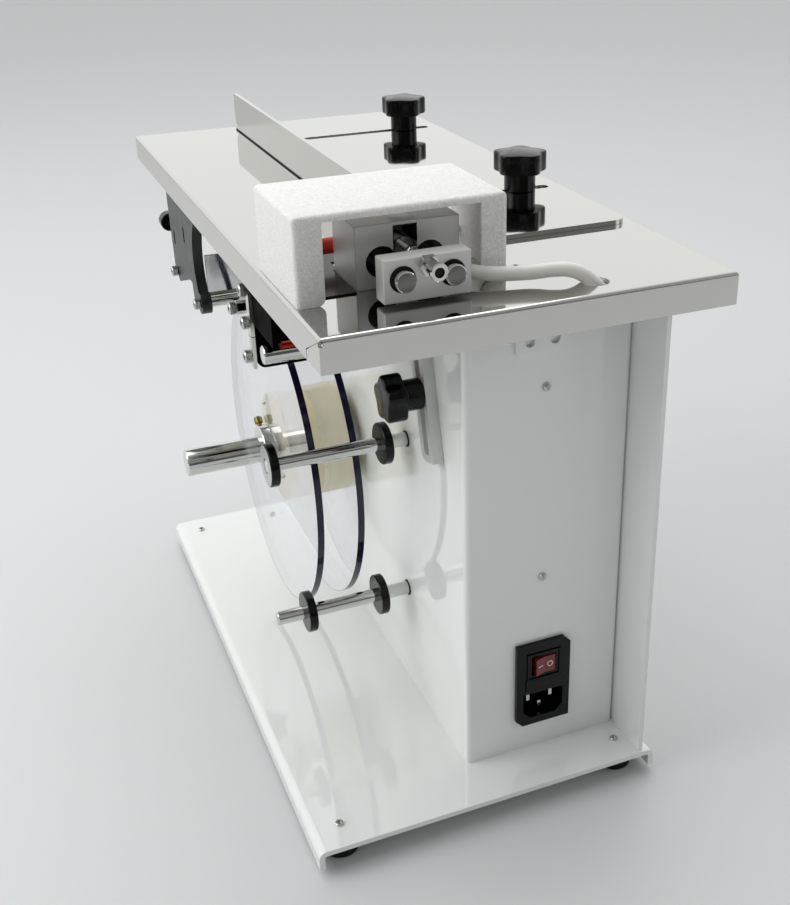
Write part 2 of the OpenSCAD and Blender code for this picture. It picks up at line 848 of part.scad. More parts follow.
module inlet_body() at_origin() color("black") difference() {
    union() {
        y_plate(body_y - inlet_lip, body_y) polygon([[inlet_x, inlet_top],
            [inlet_x + inlet_w - 4, inlet_top], [inlet_x + inlet_w, inlet_top - 4],
            [inlet_x + inlet_w, inlet_top - inlet_h], [inlet_x + 4, inlet_top - inlet_h],
            [inlet_x, inlet_top - inlet_h + 4]]);
        slab(inlet_cx - inlet_body_w / 2 + 0.2, inlet_cx + inlet_body_w / 2 - 0.2, body_y - eps,
            body_y + inlet_body_d, inlet_top - inlet_h + 2.2, inlet_top - 2.2);
    }
    slab(inlet_cx - rocker_w / 2 - rocker_gap, inlet_cx + rocker_w / 2 + rocker_gap,
        body_y - inlet_lip - eps, body_y + rocker_deep + 3,
        inlet_top - rocker_down - rocker_h / 2 - rocker_gap,
        inlet_top - rocker_down + rocker_h / 2 + rocker_gap);
    slab(inlet_cx - drawer_w / 2 - drawer_gap, inlet_cx + drawer_w / 2 + drawer_gap,
        body_y - inlet_lip - eps, body_y - inlet_lip + drawer_deep + drawer_gap,
        inlet_top - drawer_down - drawer_h / 2 - drawer_gap,
        inlet_top - drawer_down + drawer_h / 2 + drawer_gap);
    y_plate(body_y - inlet_lip - eps, body_y - inlet_lip + socket_deep) socket2d(0);
    rocker_pivot(rocker_gap + rocker_pin, rocker_pin_r + run_fit);
}

// Pin through the rocker's hinge line, standing out above and below it
module rocker_pivot(proud, r) {
    z = inlet_top - rocker_down;
    z_rod(z - rocker_h / 2 - proud, z + rocker_h / 2 + proud, inlet_cx, body_y, r);
}

module inlet_pins() at_origin() color("silver") for (i = [-1:1])
    translate([inlet_cx + i * inlet_pin_pitch / 2 - inlet_pin_w / 2,
        body_y - inlet_lip + inlet_pin_back,
        inlet_top - socket_down + (i == 0 ? -inlet_pin_step : inlet_pin_step / 2) - inlet_pin_h / 2])
        cube([inlet_pin_w, socket_deep - inlet_pin_back, inlet_pin_h]);

module fuse_drawer() at_origin() color("black") difference() {
    slab(inlet_cx - drawer_w / 2, inlet_cx + drawer_w / 2, body_y - inlet_lip - drawer_lip,
        body_y - inlet_lip + drawer_deep, inlet_top - drawer_down - drawer_h / 2,
        inlet_top - drawer_down + drawer_h / 2);
    slab(inlet_cx - drawer_w / 2 + 2, inlet_cx + drawer_w / 2 - 2, body_y - inlet_lip + 3,
        body_y - inlet_lip + drawer_deep - 2, inlet_top - drawer_down - drawer_h / 2 + 1.2,
        inlet_top - drawer_down + drawer_h / 2 + eps);
}

// The rocker's face is a shallow V, and it rests with its right half pressed in
module rocker_switch() at_origin() color("red") {
    translate([inlet_cx, body_y, inlet_top - rocker_down - rocker_h / 2]) rotate([0, 0, rocker_tilt])
        linear_extrude(rocker_h) {
            face = inlet_lip + rocker_proud;
            half = rocker_w / 2 - 0.5;
            polygon([[-half, -face - 0.9], [0, -face], [half, -face - 0.9], [half - 1.5, 4],
                [0, rocker_deep - 2], [-half + 1.5, 4]]);
        }
    rocker_pivot(rocker_gap + rocker_pin - slide_gap, rocker_pin_r);
}

module reel_shaft() at_origin() color("silver") {
    x_turned(-shaft_out, body_x, reel_y, reel_z, shaft_r);
    x_rod(body_x - shaft_shoulder, body_x, reel_y, reel_z, shaft_shoulder_r);
    x_rod(body_x - eps, backing_x1, reel_y, reel_z, shaft_spigot_r);
}

// Drum closed towards the outer disc, with a small step that the inner disc rests against
module reel_hub() at_origin() color("cornsilk") difference() {
    union() {
        difference() {
            union() {
                x_rod(hub_x0, hub_x1, reel_y, reel_z, core_r);
                x_rod(hub_step_x, hub_x1, reel_y, reel_z, core_r + hub_step);
            }
            x_rod(hub_x0 + hub_web, hub_x1 + eps, reel_y, reel_z, core_r - hub_wall);
        }
        x_rod(hub_x0 + hub_web - eps, hub_x1, reel_y, reel_z, hub_boss_r);
    }
    x_rod(hub_x0 - eps, hub_x1 + eps, reel_y, reel_z, shaft_r + run_fit);
}

module outer_disc() at_origin() color("lightcyan", 0.4) difference() {
    x_rod(reel_x, hub_x0, reel_y, reel_z, disc_r);
    x_rod(reel_x - eps, hub_x0 + eps, reel_y, reel_z, shaft_r + round_gap);
}

module inner_disc() at_origin() color("lightcyan", 0.4) difference() {
    x_rod(inner_disc_x, hub_step_x, reel_y, reel_z, disc_r);
    x_rod(inner_disc_x - eps, hub_step_x + eps, reel_y, reel_z, core_r + run_fit);
}

// Draws children on a ray that leans back from the top of the reel shaft
module on_ray(x) {
    translate([x, reel_y, reel_z]) rotate([-collar_lean, 0, 0]) children();
}

// Ring that a thumb screw holds on the reel shaft
module shaft_collar(x) color("silver") difference() {
    x_turned(x, x + collar_ring, reel_y, reel_z, collar_r);
    x_rod(x - eps, x + collar_ring + eps, reel_y, reel_z, shaft_r + run_fit);
    on_ray(x + collar_ring / 2) cylinder(h = collar_dia, r = thumb_stem_r + run_fit);
}

module thumb_screw(x) color("goldenrod") on_ray(x + collar_ring / 2) {
    translate([0, 0, shaft_r + run_fit]) cylinder(h = collar_r + thumb_neck - shaft_r, r = thumb_stem_r);
    translate([0, 0, collar_r + thumb_neck]) turned(thumb_h, thumb_r, edge_cut);
}

module lock_collar() at_origin() shaft_collar(lock_x);

module lock_screw() at_origin() thumb_screw(lock_x);

// Stop behind the hub, with its own thumb screw
module stop_collar() at_origin() {
    shaft_collar(stop_x);
    thumb_screw(stop_x);
}

module guide_rod(y, z) color("silver") {
    x_turned(0, body_x, y, z, rod_r);
    x_rod(body_x - eps, backing_x1, y, z, spigot_r);
}

module upper_rod() at_origin() guide_rod(upper_y, upper_z);

module lower_rod() at_origin() guide_rod(lower_y, lower_z);

module guide_collar(x, y, z) color("black") difference() {
    x_turned(x, x + guide_t, y, z, guide_r);
    x_rod(x - eps, x + guide_t + eps, y, z, rod_r + run_fit);
}

module upper_collar_left() at_origin() guide_collar(upper_collar_xs[0], upper_y, upper_z);

module upper_collar_right() at_origin() guide_collar(upper_collar_xs[1], upper_y, upper_z);

module lower_collar_left() at_origin() guide_collar(lower_collar_xs[0], lower_y, lower_z);

module lower_collar_right() at_origin() guide_collar(lower_collar_xs[1], lower_y, lower_z);

// Moves what is drawn about the bar's knob, with v up along the bar
module on_bar() {
    translate([0, bar_y, bar_z]) rotate([-bar_lean, 0, 0]) children();
}

module slotted_bar() at_origin() on_bar() color("silver") x_plate(bar_x0, bar_x0 + bar_t)
    difference() {
        union() {
            rect2d(-bar_w / 2, bar_w / 2, -bar_down + 5, bar_up);
            rect2d(-bar_w / 2, bar_w / 2 - 5, -bar_down, -bar_down + 6);
            translate([bar_w / 2 - 5, -bar_down + 5]) circle(5);
        }
        translate([0, -bar_slot_down]) rect2d(-slot_r, slot_r, 0, bar_slot_down + bar_slot_up);
        for (v = [-bar_slot_down, bar_slot_up])
            translate([0, v]) circle(slot_r);
    }

// Forked photo sensor that reads the gaps between labels
module label_sensor() at_origin() on_bar() color("black") difference() {
    slab(bar_x0 - sensor_len, bar_x0, -sensor_w / 2, sensor_w / 2, bar_up - 2 * sensor_jaw - sensor_gap,
        bar_up);
    slab(bar_x0 - sensor_len - eps, bar_x0 - 8, -sensor_w / 2 - eps, sensor_w / 2 + eps,
        bar_up - sensor_jaw - sensor_gap, bar_up - sensor_jaw);
}

module bar_knob() at_origin() color("black") translate([bar_x0 - slide_gap, bar_y, bar_z])
    rotate([0, -90, 0]) rotate(bar_knob_turn)
        star_knob(bar_knob_dia, bar_head, bar_neck, bar_neck_r, bar_t + slide_gap * 2 + wall_t,
            bar_knob_edge);

// Black box open below: a back plate, two cheeks that carry the pinch axle and a front plate
module feed_bracket() at_origin() color("black") difference() {
    union() {
        y_plate(bracket_y, bracket_y + bracket_back) union() {
            rect2d(bracket_x0, bracket_x1, table_z - bracket_drop + 5, under_z);
            rect2d(bracket_x0 + 5, bracket_x1 - 5, table_z - bracket_drop, under_z);
            for (x = [bracket_x0 + 5, bracket_x1 - 5])
                translate([x, table_z - bracket_drop + 5]) circle(5);
        }
        for (x = [bracket_x0, bracket_x1 - bracket_t])
            slab(x, x + bracket_t, cheek_y0, bracket_y + eps, cheek_z0, under_z);
        slab(bracket_x0, bracket_x1, cheek_y0, cheek_y0 + bracket_t, front_z0, under_z);
        slab(bracket_x0, bracket_x1, bracket_y, bracket_y + 16, under_z - flange_t, under_z);
    }
    x_rod(bracket_x0 + axle_skin, bracket_x1 + eps, feed_y, pinch_z, axle_r + run_fit);
    for (drop = strip_drops)
        x_rod(bracket_x0 - eps, bracket_x0 + cap_stem + 1, strip_y, table_z - drop, cap_stem_r + run_fit);
}

// Strip in two lengths down the bracket's left edge
module near_side_plate() at_origin() color("silver") difference() {
    slab(under_x, under_x + side_t, bracket_y, bracket_y + bracket_back, table_z - bracket_drop, under_z);
    slab(under_x - eps, under_x + side_t + eps, bracket_y - eps, bracket_y + bracket_back + eps,
        table_z - strip_split - strip_gap / 2, table_z - strip_split + strip_gap / 2);
    for (drop = strip_drops)
        x_rod(under_x - eps, under_x + side_t + eps, strip_y, table_z - drop, cap_stem_r + run_fit);
}

// Three screws down the strip, and one in the free end of the web bar
module bracket_screws() at_origin() color("silver") {
    for (drop = strip_drops)
        cap_screw(under_x, strip_y, table_z - drop, bracket_x0 + cap_stem);
    cap_screw(under_x, web_bar_y, web_bar_z, under_x + cap_stem);
}

// Bar and plate on the housing's left wall that lead the label web
module web_bars() at_origin() color("silver") {
    difference() {
        x_rod(under_x, body_x, web_bar_y, web_bar_z, web_bar_r);
        x_rod(under_x - eps, under_x + cap_stem + 1, web_bar_y, web_bar_z, cap_stem_r + run_fit);
    }
    slab(rear_x1 + round_gap, body_x, guide_y, guide_y + guide_plate_t, guide_z0, guide_z1);
}

module feed_roller() at_origin() color("silver") {
    x_turned(feed_x0, feed_x1, feed_y, feed_z, feed_r);
    x_rod(feed_x1 - eps, pulley_x1, feed_y, feed_z, journal_r);
}

module pinch_roller() at_origin() color("red") difference() {
    x_turned(bracket_x0 + bracket_t + pinch_end, bracket_x1 - bracket_t - 1, feed_y, pinch_z, pinch_r);
    x_rod(bracket_x0, bracket_x1, feed_y, pinch_z, axle_r + run_fit);
}

module pinch_axle() at_origin() color("silver")
    x_rod(bracket_x0 + axle_skin, bracket_x1, feed_y, pinch_z, axle_r);

// Thick plate whose near edge curves down to the rear roller
module rear_bracket() at_origin() color("dimgray") difference() {
    union() {
        x_plate(rear_x0, rear_x1) {
            difference() {
                polygon([[rear_y + 1, under_z], [rear_y + rear_far, under_z],
                    [rear_y + rear_far, rear_z + 50], [rear_y + rear_far - 5, rear_z + 1],
                    [rear_y + rear_far - 10, rear_z - 1], [rear_y + rear_far - 18, rear_z - 5],
                    [rear_y + 29, rear_z + 8], [rear_y + 21, rear_z + 8], [rear_y + 18, rear_z - 3],
                    [rear_y + 3, rear_z - 6], [rear_y - 9, rear_z]]);
                translate([rear_edge_y, rear_edge_z]) circle(rear_edge_r);
            }
            translate([rear_y, rear_z]) circle(rear_tip_r);
        }
        slab(rear_x0, rear_x1 + 14, rear_y + 6, rear_y + rear_far, under_z - flange_t, under_z);
    }
    x_rod(rear_x0 - eps, rear_x1 + eps, rear_y, rear_z, rear_pin_r + run_fit);
    x_rod(rear_x0 - eps, rear_x1 + eps, rear_y + rear_low[0], rear_z + rear_low[1],
        cap_stem_r + run_fit);
    y_rod(rear_y + rear_far - thumb_stud_len - 1, rear_y + rear_far + eps, (rear_x0 + rear_x1) / 2,
        rear_z + thumb_knob_up, thumb_stud_r + run_fit);
    for (spot = rear_slots)
        x_plate(rear_x0 - eps, rear_x1 + eps) translate([rear_y + spot[0], rear_z + spot[1]])
            rotate(90) slot2d(-rear_slot_len / 2, rear_slot_len / 2, 0, rear_slot_r);
}

module rear_roller() at_origin() color("silver") difference() {
    x_rod(rear_x1 + round_gap, web_end, rear_y, rear_z, rear_dia / 2);
    x_rod(rear_x1, web_end + eps, rear_y, rear_z, rear_pin_r + run_fit);
}

module rear_screws() at_origin() color("silver") {
    cap_screw(rear_x0, rear_y, rear_z, rear_x0 + eps);
    x_rod(rear_x0, web_end, rear_y, rear_z, rear_pin_r);
    cap_screw(rear_x0, rear_y + rear_low[0], rear_z + rear_low[1], rear_x1);
}

module bracket_knob() at_origin() color("black")
    translate([(rear_x0 + rear_x1) / 2, rear_y + rear_far, rear_z + thumb_knob_up])
        rotate([-90, 0, 0]) {
            translate([0, 0, thumb_reach]) turned(thumb_knob_len, thumb_knob_r, edge_cut);
            translate([0, 0, -thumb_stud_len])
                cylinder(h = thumb_stud_len + thumb_reach + eps, r = thumb_stud_r);
        }

module fence() at_origin() color("gainsboro") difference() {
    union() {
        translate([0, 0, fence_z0]) linear_extrude(fence_t) difference() {
            union() {
                rect2d(fence_x, fence_x1 - fence_corner, fence_near, fence_y1);
                rect2d(fence_x, fence_x1, fence_near + fence_corner, fence_y1);
                translate([fence_x1 - fence_corner, fence_near + fence_corner]) circle(fence_corner);
            }
            rect2d(fence_x - eps, fence_notch_x, fence_near - eps, fence_notch_y);
            for (y = [knob_near_y, knob_far_y])
                slot2d(slot_x0, slot_x1, y, fence_slot_r);
        }
        x_plate(fence_x, fence_x + fence_t) difference() {
            rect2d(fence_notch_y, fence_y1, fence_z0, table_z + fence_h);
            difference() {
                rect2d(fence_y1 - fence_corner, fence_y1 + eps, fence_z0 + fence_t,
                    fence_z0 + fence_t + fence_corner);
                translate([fence_y1 - fence_corner, fence_z0 + fence_t + fence_corner])
                    circle(fence_corner);
            }
        }
    }
}

module fence_knob(y) color("black") translate([knob_x, y, knob_z])
    rotate(knob_turn) star_knob(knob_dia, knob_head, knob_neck, knob_neck_r, stud_len, knob_edge);

module fence_knob_near() at_origin() fence_knob(knob_near_y);

module fence_knob_far() at_origin() fence_knob(knob_far_y);

module hood() at_origin() color("white") difference() {
    tray(hood_x, hood_x1, hood_y, hood_y1, table_z, table_z + hood_h, hood_bend);
    tray(hood_x + hood_t, hood_x1 - hood_t, hood_y + hood_t, hood_y1 - hood_t, table_z - eps,
        table_z + hood_h - hood_t, hood_bend - hood_t);
    x_rod(press_axle_x0, press_axle_x1, press_y, press_z, press_axle_r + run_fit);
    y_plate(hood_y - eps, hood_y + hood_t + eps) {
        rect2d(hood_x + hood_leg, hood_x1 - hood_leg, table_z - eps, table_z + hood_h - hood_strip);
        for (side = [0, 1])
            difference() {
                translate([side == 0 ? hood_x + hood_leg - hood_leg_round : hood_x1 - hood_leg - eps,
                    table_z - eps]) square([hood_leg_round + eps, hood_leg_round + eps]);
                translate([side == 0 ? hood_x + hood_leg - hood_leg_round
                    : hood_x1 - hood_leg + hood_leg_round, table_z + hood_leg_round])
                    circle(hood_leg_round);
            }
    }
}

module head_block() at_origin() color("silver") difference() {
    milled(block_x, block_x1, block_y, block_y1, table_z, table_z + block_h);
    slab(trigger_cx - keyway_w / 2, trigger_cx + keyway_w / 2, block_y - eps, block_y + keyway_d,
        keyway_z0, table_z + block_h + eps);
    for (x = pin_xs)
        y_rod(block_y - eps, block_y1 + eps, x, pin_z, guide_bush_r + run_fit);
}

module guide_bushes() at_origin() color("black") for (x = pin_xs)
    difference() {
        y_rod(block_y, block_y1, x, pin_z, guide_bush_r);
        y_rod(block_y - eps, block_y1 + eps, x, pin_z, pin_r + run_fit);
    }

module trigger_bar() at_origin() color("silver") difference() {
    milled(trigger_cx - trigger_w / 2, trigger_cx + trigger_w / 2, trigger_y0, trigger_y1, trigger_z0,
        trigger_z0 + trigger_h);
    for (x = pin_xs)
        y_rod(trigger_y0 - eps, trigger_y1 + eps, x, pin_z, pin_r + run_fit);
    y_rod(trigger_y0 - eps, trigger_y1 + eps, trigger_cx, sensor_z, push_r + run_fit);
}

module guide_pins() at_origin() color("silver") for (x = pin_xs)
    y_turned(trigger_y0 - pin_proud, block_y1 - 4, x, pin_z, pin_r);

// Hollow fitting and nut on the bar's front, on a thin rod that runs through to the spring
module sensor_barrel() at_origin() color("silver") {
    difference() {
        union() {
            translate([trigger_cx, trigger_y0, sensor_z]) rotate([90, 0, 0])
                cylinder(h = barrel_nut_h, r = barrel_nut_r, $fn = 6);
            y_rod(trigger_y0 - barrel_len, trigger_y0 - eps, trigger_cx, sensor_z, barrel_r);
            y_turned(trigger_y0 - barrel_len, trigger_y0 - barrel_len + barrel_lip, trigger_cx, sensor_z,
                barrel_r + 0.7);
        }
        y_rod(trigger_y0 - barrel_len - eps, trigger_y0 - barrel_nut_h, trigger_cx, sensor_z,
            barrel_bore_r);
    }
    y_rod(trigger_y0 - eps, push_y1, trigger_cx, sensor_z, push_r);
    y_rod(spring_y0 - push_shoulder_h, spring_y0, trigger_cx, sensor_z, push_shoulder_r);
}

// One ring of points about a centre, square to the direction it faces
function ring(centre, forward, r, sides) =
    let (side = cross(forward, abs(forward[2]) > 0.9 ? [1, 0, 0] : [0, 0, 1]))
    let (u = side / norm(side))
    let (v = cross(u, forward))
    [for (k = [0:sides - 1]) centre + r * (cos(k * 360 / sides) * u + sin(k * 360 / sides) * v)];

function heading(path, i) =
    let (last = len(path) - 1)
    let (d = path[min(i + 1, last)] - path[max(i - 1, 0)])
    d / norm(d);

// Sweeps a round tube along a path, closed at both ends, in triangles
module tube(path, r, sides, first, last) {
    count = len(path);
    points = [for (i = [0:count - 1])
        each ring(path[i], i == 0 ? first : (i == count - 1 ? last : heading(path, i)), r, sides)];
    walls = [for (i = [0:count - 2]) for (k = [0:sides - 1])
        let (a = i * sides + k, b = i * sides + (k + 1) % sides)
        each [[a, b + sides, b], [a, a + sides, b + sides]]];
    starts = [for (k = [1:sides - 2]) [0, k, k + 1]];
    top = (count - 1) * sides;
    ends = [for (k = [1:sides - 2]) [top, top + k + 1, top + k]];
    polyhedron(points = points, faces = concat(walls, starts, ends));
}

spring_len = spring_y1 - spring_y0 - 2 * wire_r - 2 * slide_gap;
spring_rings = spring_turns * 8;
spring_path = [for (i = [0:spring_rings])
    [trigger_cx + spring_r * cos(i * 45), spring_y0 + wire_r + slide_gap + spring_len * i / spring_rings,
        sensor_z + spring_r * sin(i * 45)]];
spring_gap = min([for (i = [0:spring_rings - 5]) for (j = [i + 5:spring_rings])
    norm(spring_path[i] - spring_path[j])]) - 2 * wire_r;
echo(spring_gap = spring_gap);

module return_spring() at_origin() color("silver")
    tube(spring_path, wire_r, 6, heading(spring_path, 0), heading(spring_path, spring_rings));

module press_roller() at_origin() color("red") difference() {
    x_turned(press_x0, press_x1, press_y, press_z, press_r);
    x_rod(press_x0 - eps, press_x1 + eps, press_y, press_z, press_axle_r + run_fit);
}

// Axle in blind seats inside the hood's left and right walls
module press_axle() at_origin() color("silver")
    x_rod(press_axle_x0, press_axle_x1, press_y, press_z, press_axle_r);

module cable() at_origin() color("white") translate([0, 0, table_z])
    tube(cable_route, cable_r, 12, [0, -1, 0], [0, 1, 0]);

module stepper_motor() at_origin() color("dimgray") difference() {
    union() {
        x_plate(motor_x0, motor_x0 + motor_len) translate([motor_y, feed_z]) {
            half = motor_side / 2;
            flat = half - motor_cut;
            polygon([[-half, -flat], [-flat, -half], [flat, -half], [half, -flat], [half, flat],
                [flat, half], [-flat, half], [-half, flat]]);
        }
        x_rod(motor_x0 - motor_boss, motor_x0 + eps, motor_y, feed_z, motor_boss_r);
    }
    x_rod(motor_x0 - motor_boss - eps, motor_x0 + motor_seat, motor_y, feed_z, motor_shaft_r + run_fit);
}

module pulley(y, z, r) {
    x_rod(pulley_x0, pulley_x1, y, z, r);
    for (x = [pulley_x0, pulley_x1 - rim_t])
        x_rod(x, x + rim_t, y, z, r + rim_lip);
}

module motor_pulley() at_origin() color("silver") {
    pulley(motor_y, feed_z, motor_pulley_r);
    x_rod(pulley_x1 - eps, motor_x0 + motor_seat - slide_gap, motor_y, feed_z, motor_shaft_r);
}

module drive_pulley() at_origin() color("silver") difference() {
    pulley(feed_y, feed_z, drive_r);
    x_rod(pulley_x0 - eps, pulley_x1 + eps, feed_y, feed_z, journal_r + run_fit);
}

function arc(centre, r, from, to, steps) =
    [for (i = [0:steps]) let (a = from + (to - from) * i / steps) centre + r * [cos(a), sin(a)]];

// Outline of a belt round two pulleys, grown outward from their rims
module belt2d(grow) {
    lead = acos((drive_r - motor_pulley_r) / belt_span);
    polygon(concat(arc([belt_span, 0], motor_pulley_r + grow, -lead, lead, 16),
        arc([0, 0], drive_r + grow, lead, 360 - lead, 24)));
}

module drive_belt() at_origin() color("black") x_plate(pulley_x0 + rim_t + eps, pulley_x1 - rim_t - eps)
    translate([feed_y, feed_z]) difference() {
        belt2d(round_gap + belt_t);
        belt2d(round_gap);
    }

module power_supply() at_origin() color("silver") {
    slab(supply_x1 - supply_w, supply_x1, supply_y1 - supply_d, supply_y1, base_top + supply_feet,
        base_top + supply_feet + supply_h);
    for (x = [supply_x1 - supply_w + supply_foot_in, supply_x1 - supply_foot_in])
        for (y = [supply_y1 - supply_d + supply_foot_in, supply_y1 - supply_foot_in])
            z_rod(base_top, base_top + supply_feet + eps, x, y, supply_foot_r);
}

// Board on posts from the side panel, with the block that takes the cable
module control_board() at_origin() color("green") {
    board_x = body_x1 - board_off;
    board_y = terminal_y + 4;
    board_z1 = under_z - 4;
    slab(board_x - board_t, board_x, board_y, board_y + board_d, board_z1 - board_h, board_z1);
    for (y = [board_y + board_post_in, board_y + board_d - board_post_in])
        for (z = [board_z1 - board_h + board_post_in, board_z1 - 3 * board_post_in])
            x_rod(board_x - eps, body_x1, y, z, board_post_r);
    slab(terminal_x - terminal_w / 2, board_x - board_t + eps, terminal_y, terminal_y + terminal_w,
        table_z - terminal_drop - terminal_h / 2, table_z - terminal_drop + terminal_h / 2);
}

base_plate();
rubber_feet();
foot_screws();
housing();
side_panel();
housing_screws();
backing_plate();
table_top();
table_lug();
table_bushes();
inlet_body();
inlet_pins();
fuse_drawer();
rocker_switch();
reel_shaft();
reel_hub();
outer_disc();
inner_disc();
lock_collar();
lock_screw();
stop_collar();
upper_rod();
lower_rod();
upper_collar_left();
upper_collar_right();
lower_collar_left();
lower_collar_right();
slotted_bar();
label_sensor();
bar_knob();
feed_bracket();
near_side_plate();
bracket_screws();
web_bars();
feed_roller();
pinch_roller();
pinch_axle();
rear_bracket();
rear_roller();
rear_screws();
bracket_knob();
fence();
fence_knob_near();
fence_knob_far();
hood();
head_block();
guide_bushes();
trigger_bar();
guide_pins();
sensor_barrel();
return_spring();
press_roller();
press_axle();
cable();
stepper_motor();
motor_pulley();
drive_pulley();
drive_belt();
power_supply();
control_board();
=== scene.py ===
# %% [markdown]
# # Corner labeling machine
# A desk machine that folds a label round the corner of a carton. Its rigid parts come from the
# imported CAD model, which loads here as a fixed frame in metres. This lesson adds what solids leave
# out: the finishes, the lead, the spring wire, the moulded knobs, the screws, the folded hood and the
# small details of the label head.

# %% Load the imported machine
import json
import math

import bmesh
import bpy
from mathutils import Matrix, Vector


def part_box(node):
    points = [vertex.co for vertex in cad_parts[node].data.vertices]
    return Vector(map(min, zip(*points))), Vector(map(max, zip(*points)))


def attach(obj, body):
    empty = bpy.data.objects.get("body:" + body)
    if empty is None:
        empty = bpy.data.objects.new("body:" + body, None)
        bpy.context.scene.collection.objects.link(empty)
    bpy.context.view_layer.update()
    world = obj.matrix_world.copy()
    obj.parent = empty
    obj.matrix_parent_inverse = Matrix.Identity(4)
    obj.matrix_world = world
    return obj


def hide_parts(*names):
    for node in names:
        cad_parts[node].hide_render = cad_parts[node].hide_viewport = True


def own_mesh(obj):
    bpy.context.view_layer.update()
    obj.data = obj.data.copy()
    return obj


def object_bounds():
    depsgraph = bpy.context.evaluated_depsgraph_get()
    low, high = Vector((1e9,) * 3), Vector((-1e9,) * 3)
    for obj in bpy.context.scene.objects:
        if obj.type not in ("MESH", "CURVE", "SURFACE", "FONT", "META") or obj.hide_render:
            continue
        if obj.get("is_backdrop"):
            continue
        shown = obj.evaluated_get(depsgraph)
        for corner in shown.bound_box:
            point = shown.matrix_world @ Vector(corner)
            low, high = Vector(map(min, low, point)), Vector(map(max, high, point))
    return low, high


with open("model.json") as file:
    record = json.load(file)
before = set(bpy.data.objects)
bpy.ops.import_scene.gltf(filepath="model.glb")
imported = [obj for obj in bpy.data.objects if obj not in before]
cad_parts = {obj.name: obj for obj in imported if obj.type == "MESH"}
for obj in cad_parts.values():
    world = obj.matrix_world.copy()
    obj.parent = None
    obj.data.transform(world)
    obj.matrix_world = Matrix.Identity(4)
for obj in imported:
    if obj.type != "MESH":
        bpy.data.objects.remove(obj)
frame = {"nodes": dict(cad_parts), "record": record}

nodes = frame["nodes"]
cad_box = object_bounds()

# %% [markdown]
# ## Camera
# The photograph was taken from the front left and a little above. Every place below is given in
# millimetres from the table's near left top corner, because that corner is easy to find in the
# picture. The lens and the shift repeat the photograph's perspective, so no fitting is needed later.

# %% Camera
IMAGE_W, IMAGE_H = 790, 905
FOCAL_PX = 1201.44
CENTRE_PX = (448.15, 412.74)
EYE = (-130.21, -451.88, 184.23)
FORWARD = Vector((0.34837, 0.83612, -0.42372)).normalized()
RIGHT = Vector((0.92055, -0.39039, -0.01351)).normalized()
SENSOR = 36.0

table_lo, table_hi = (Vector(p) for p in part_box("table_top"))
corner = Vector((table_lo.x, table_lo.y, table_hi.z))


def at(x, y, z):
    """A point in mm from the table's near left top corner, in metres in the frame."""
    return corner + Vector((x, y, z)) / 1000


scene = bpy.context.scene
camera = bpy.data.objects.new("photo_camera", bpy.data.cameras.new("photo_camera"))
scene.collection.objects.link(camera)
scene.camera = camera
turn = Matrix((RIGHT, RIGHT.cross(FORWARD), -FORWARD)).transposed().to_4x4()
camera.matrix_world = Matrix.Translation(at(*EYE)) @ turn
camera.data.sensor_width = SENSOR
camera.data.lens = FOCAL_PX * SENSOR / IMAGE_H
camera.data.shift_x = (IMAGE_W / 2 - CENTRE_PX[0]) / IMAGE_H
camera.data.shift_y = (CENTRE_PX[1] - IMAGE_H / 2) / IMAGE_H
print("camera", [round(v, 4) for v in camera.location], "lens", round(camera.data.lens, 2))

# %% [markdown]
# ## Finishes: four small helpers
# Colours are written as the eye sees them, in sRGB hex, and one function makes them linear. One
# function adds a node with its settings and links, and another starts a material. Pattern sizes are
# real millimetres: a noise of scale 1 has features about a metre wide here, so `per_mm` turns a size
# into a scale.

# %% Helpers for finishes


def linear(hex_colour):
    """sRGB hex to the linear colour that shaders use."""
    parts = [int(hex_colour[i:i + 2], 16) / 255 for i in (1, 3, 5)]
    return tuple(c / 12.92 if c <= 0.04045 else ((c + 0.055) / 1.055) ** 2.4 for c in parts) + (1.0,)


def per_mm(size):
    """The scale at which a pattern's features are a size in mm."""
    return 1000 / size


def add(tree, kind, sockets=None, **settings):
    """Adds a node. A socket is given a value, or another node's output to link from."""
    node = tree.nodes.new(kind)
    for key, value in settings.items():
        setattr(node, key, value)
    for key, value in (sockets or {}).items():
        if isinstance(value, bpy.types.NodeSocket):
            tree.links.new(value, node.inputs[key])
        else:
            node.inputs[key].default_value = value
    return node


def finish(name, colour, **values):
    """A material of one shader with constant values, and its tree, shader and object coordinates."""
    made = bpy.data.materials.new(name)
    made.use_nodes = True
    tree = made.node_tree
    shader = tree.nodes["Principled BSDF"]
    shader.inputs["Base Color"].default_value = linear(colour)
    for key, value in values.items():
        shader.inputs[key].default_value = value
    place = add(tree, "ShaderNodeTexCoord").outputs["Object"]
    return made, tree, shader, place


finishes = {}
print("helpers ready")

# %% [markdown]
# ## White paint
# The tower, base and side panel wear a gloss white powder coat. It is nearly mirror smooth, so the rods
# and the bar show in it, and its high refractive index makes that mirror strong; a faint orange peel
# stays. The hood has a wrinkle coat instead: matt, with raised worms about a millimetre wide. Both
# could be painted images, but a noise in real millimetres never repeats.

# %% White paint
PEEL_MM, WRINKLE_MM, HAZE_MM = 2.2, 1.1, 60

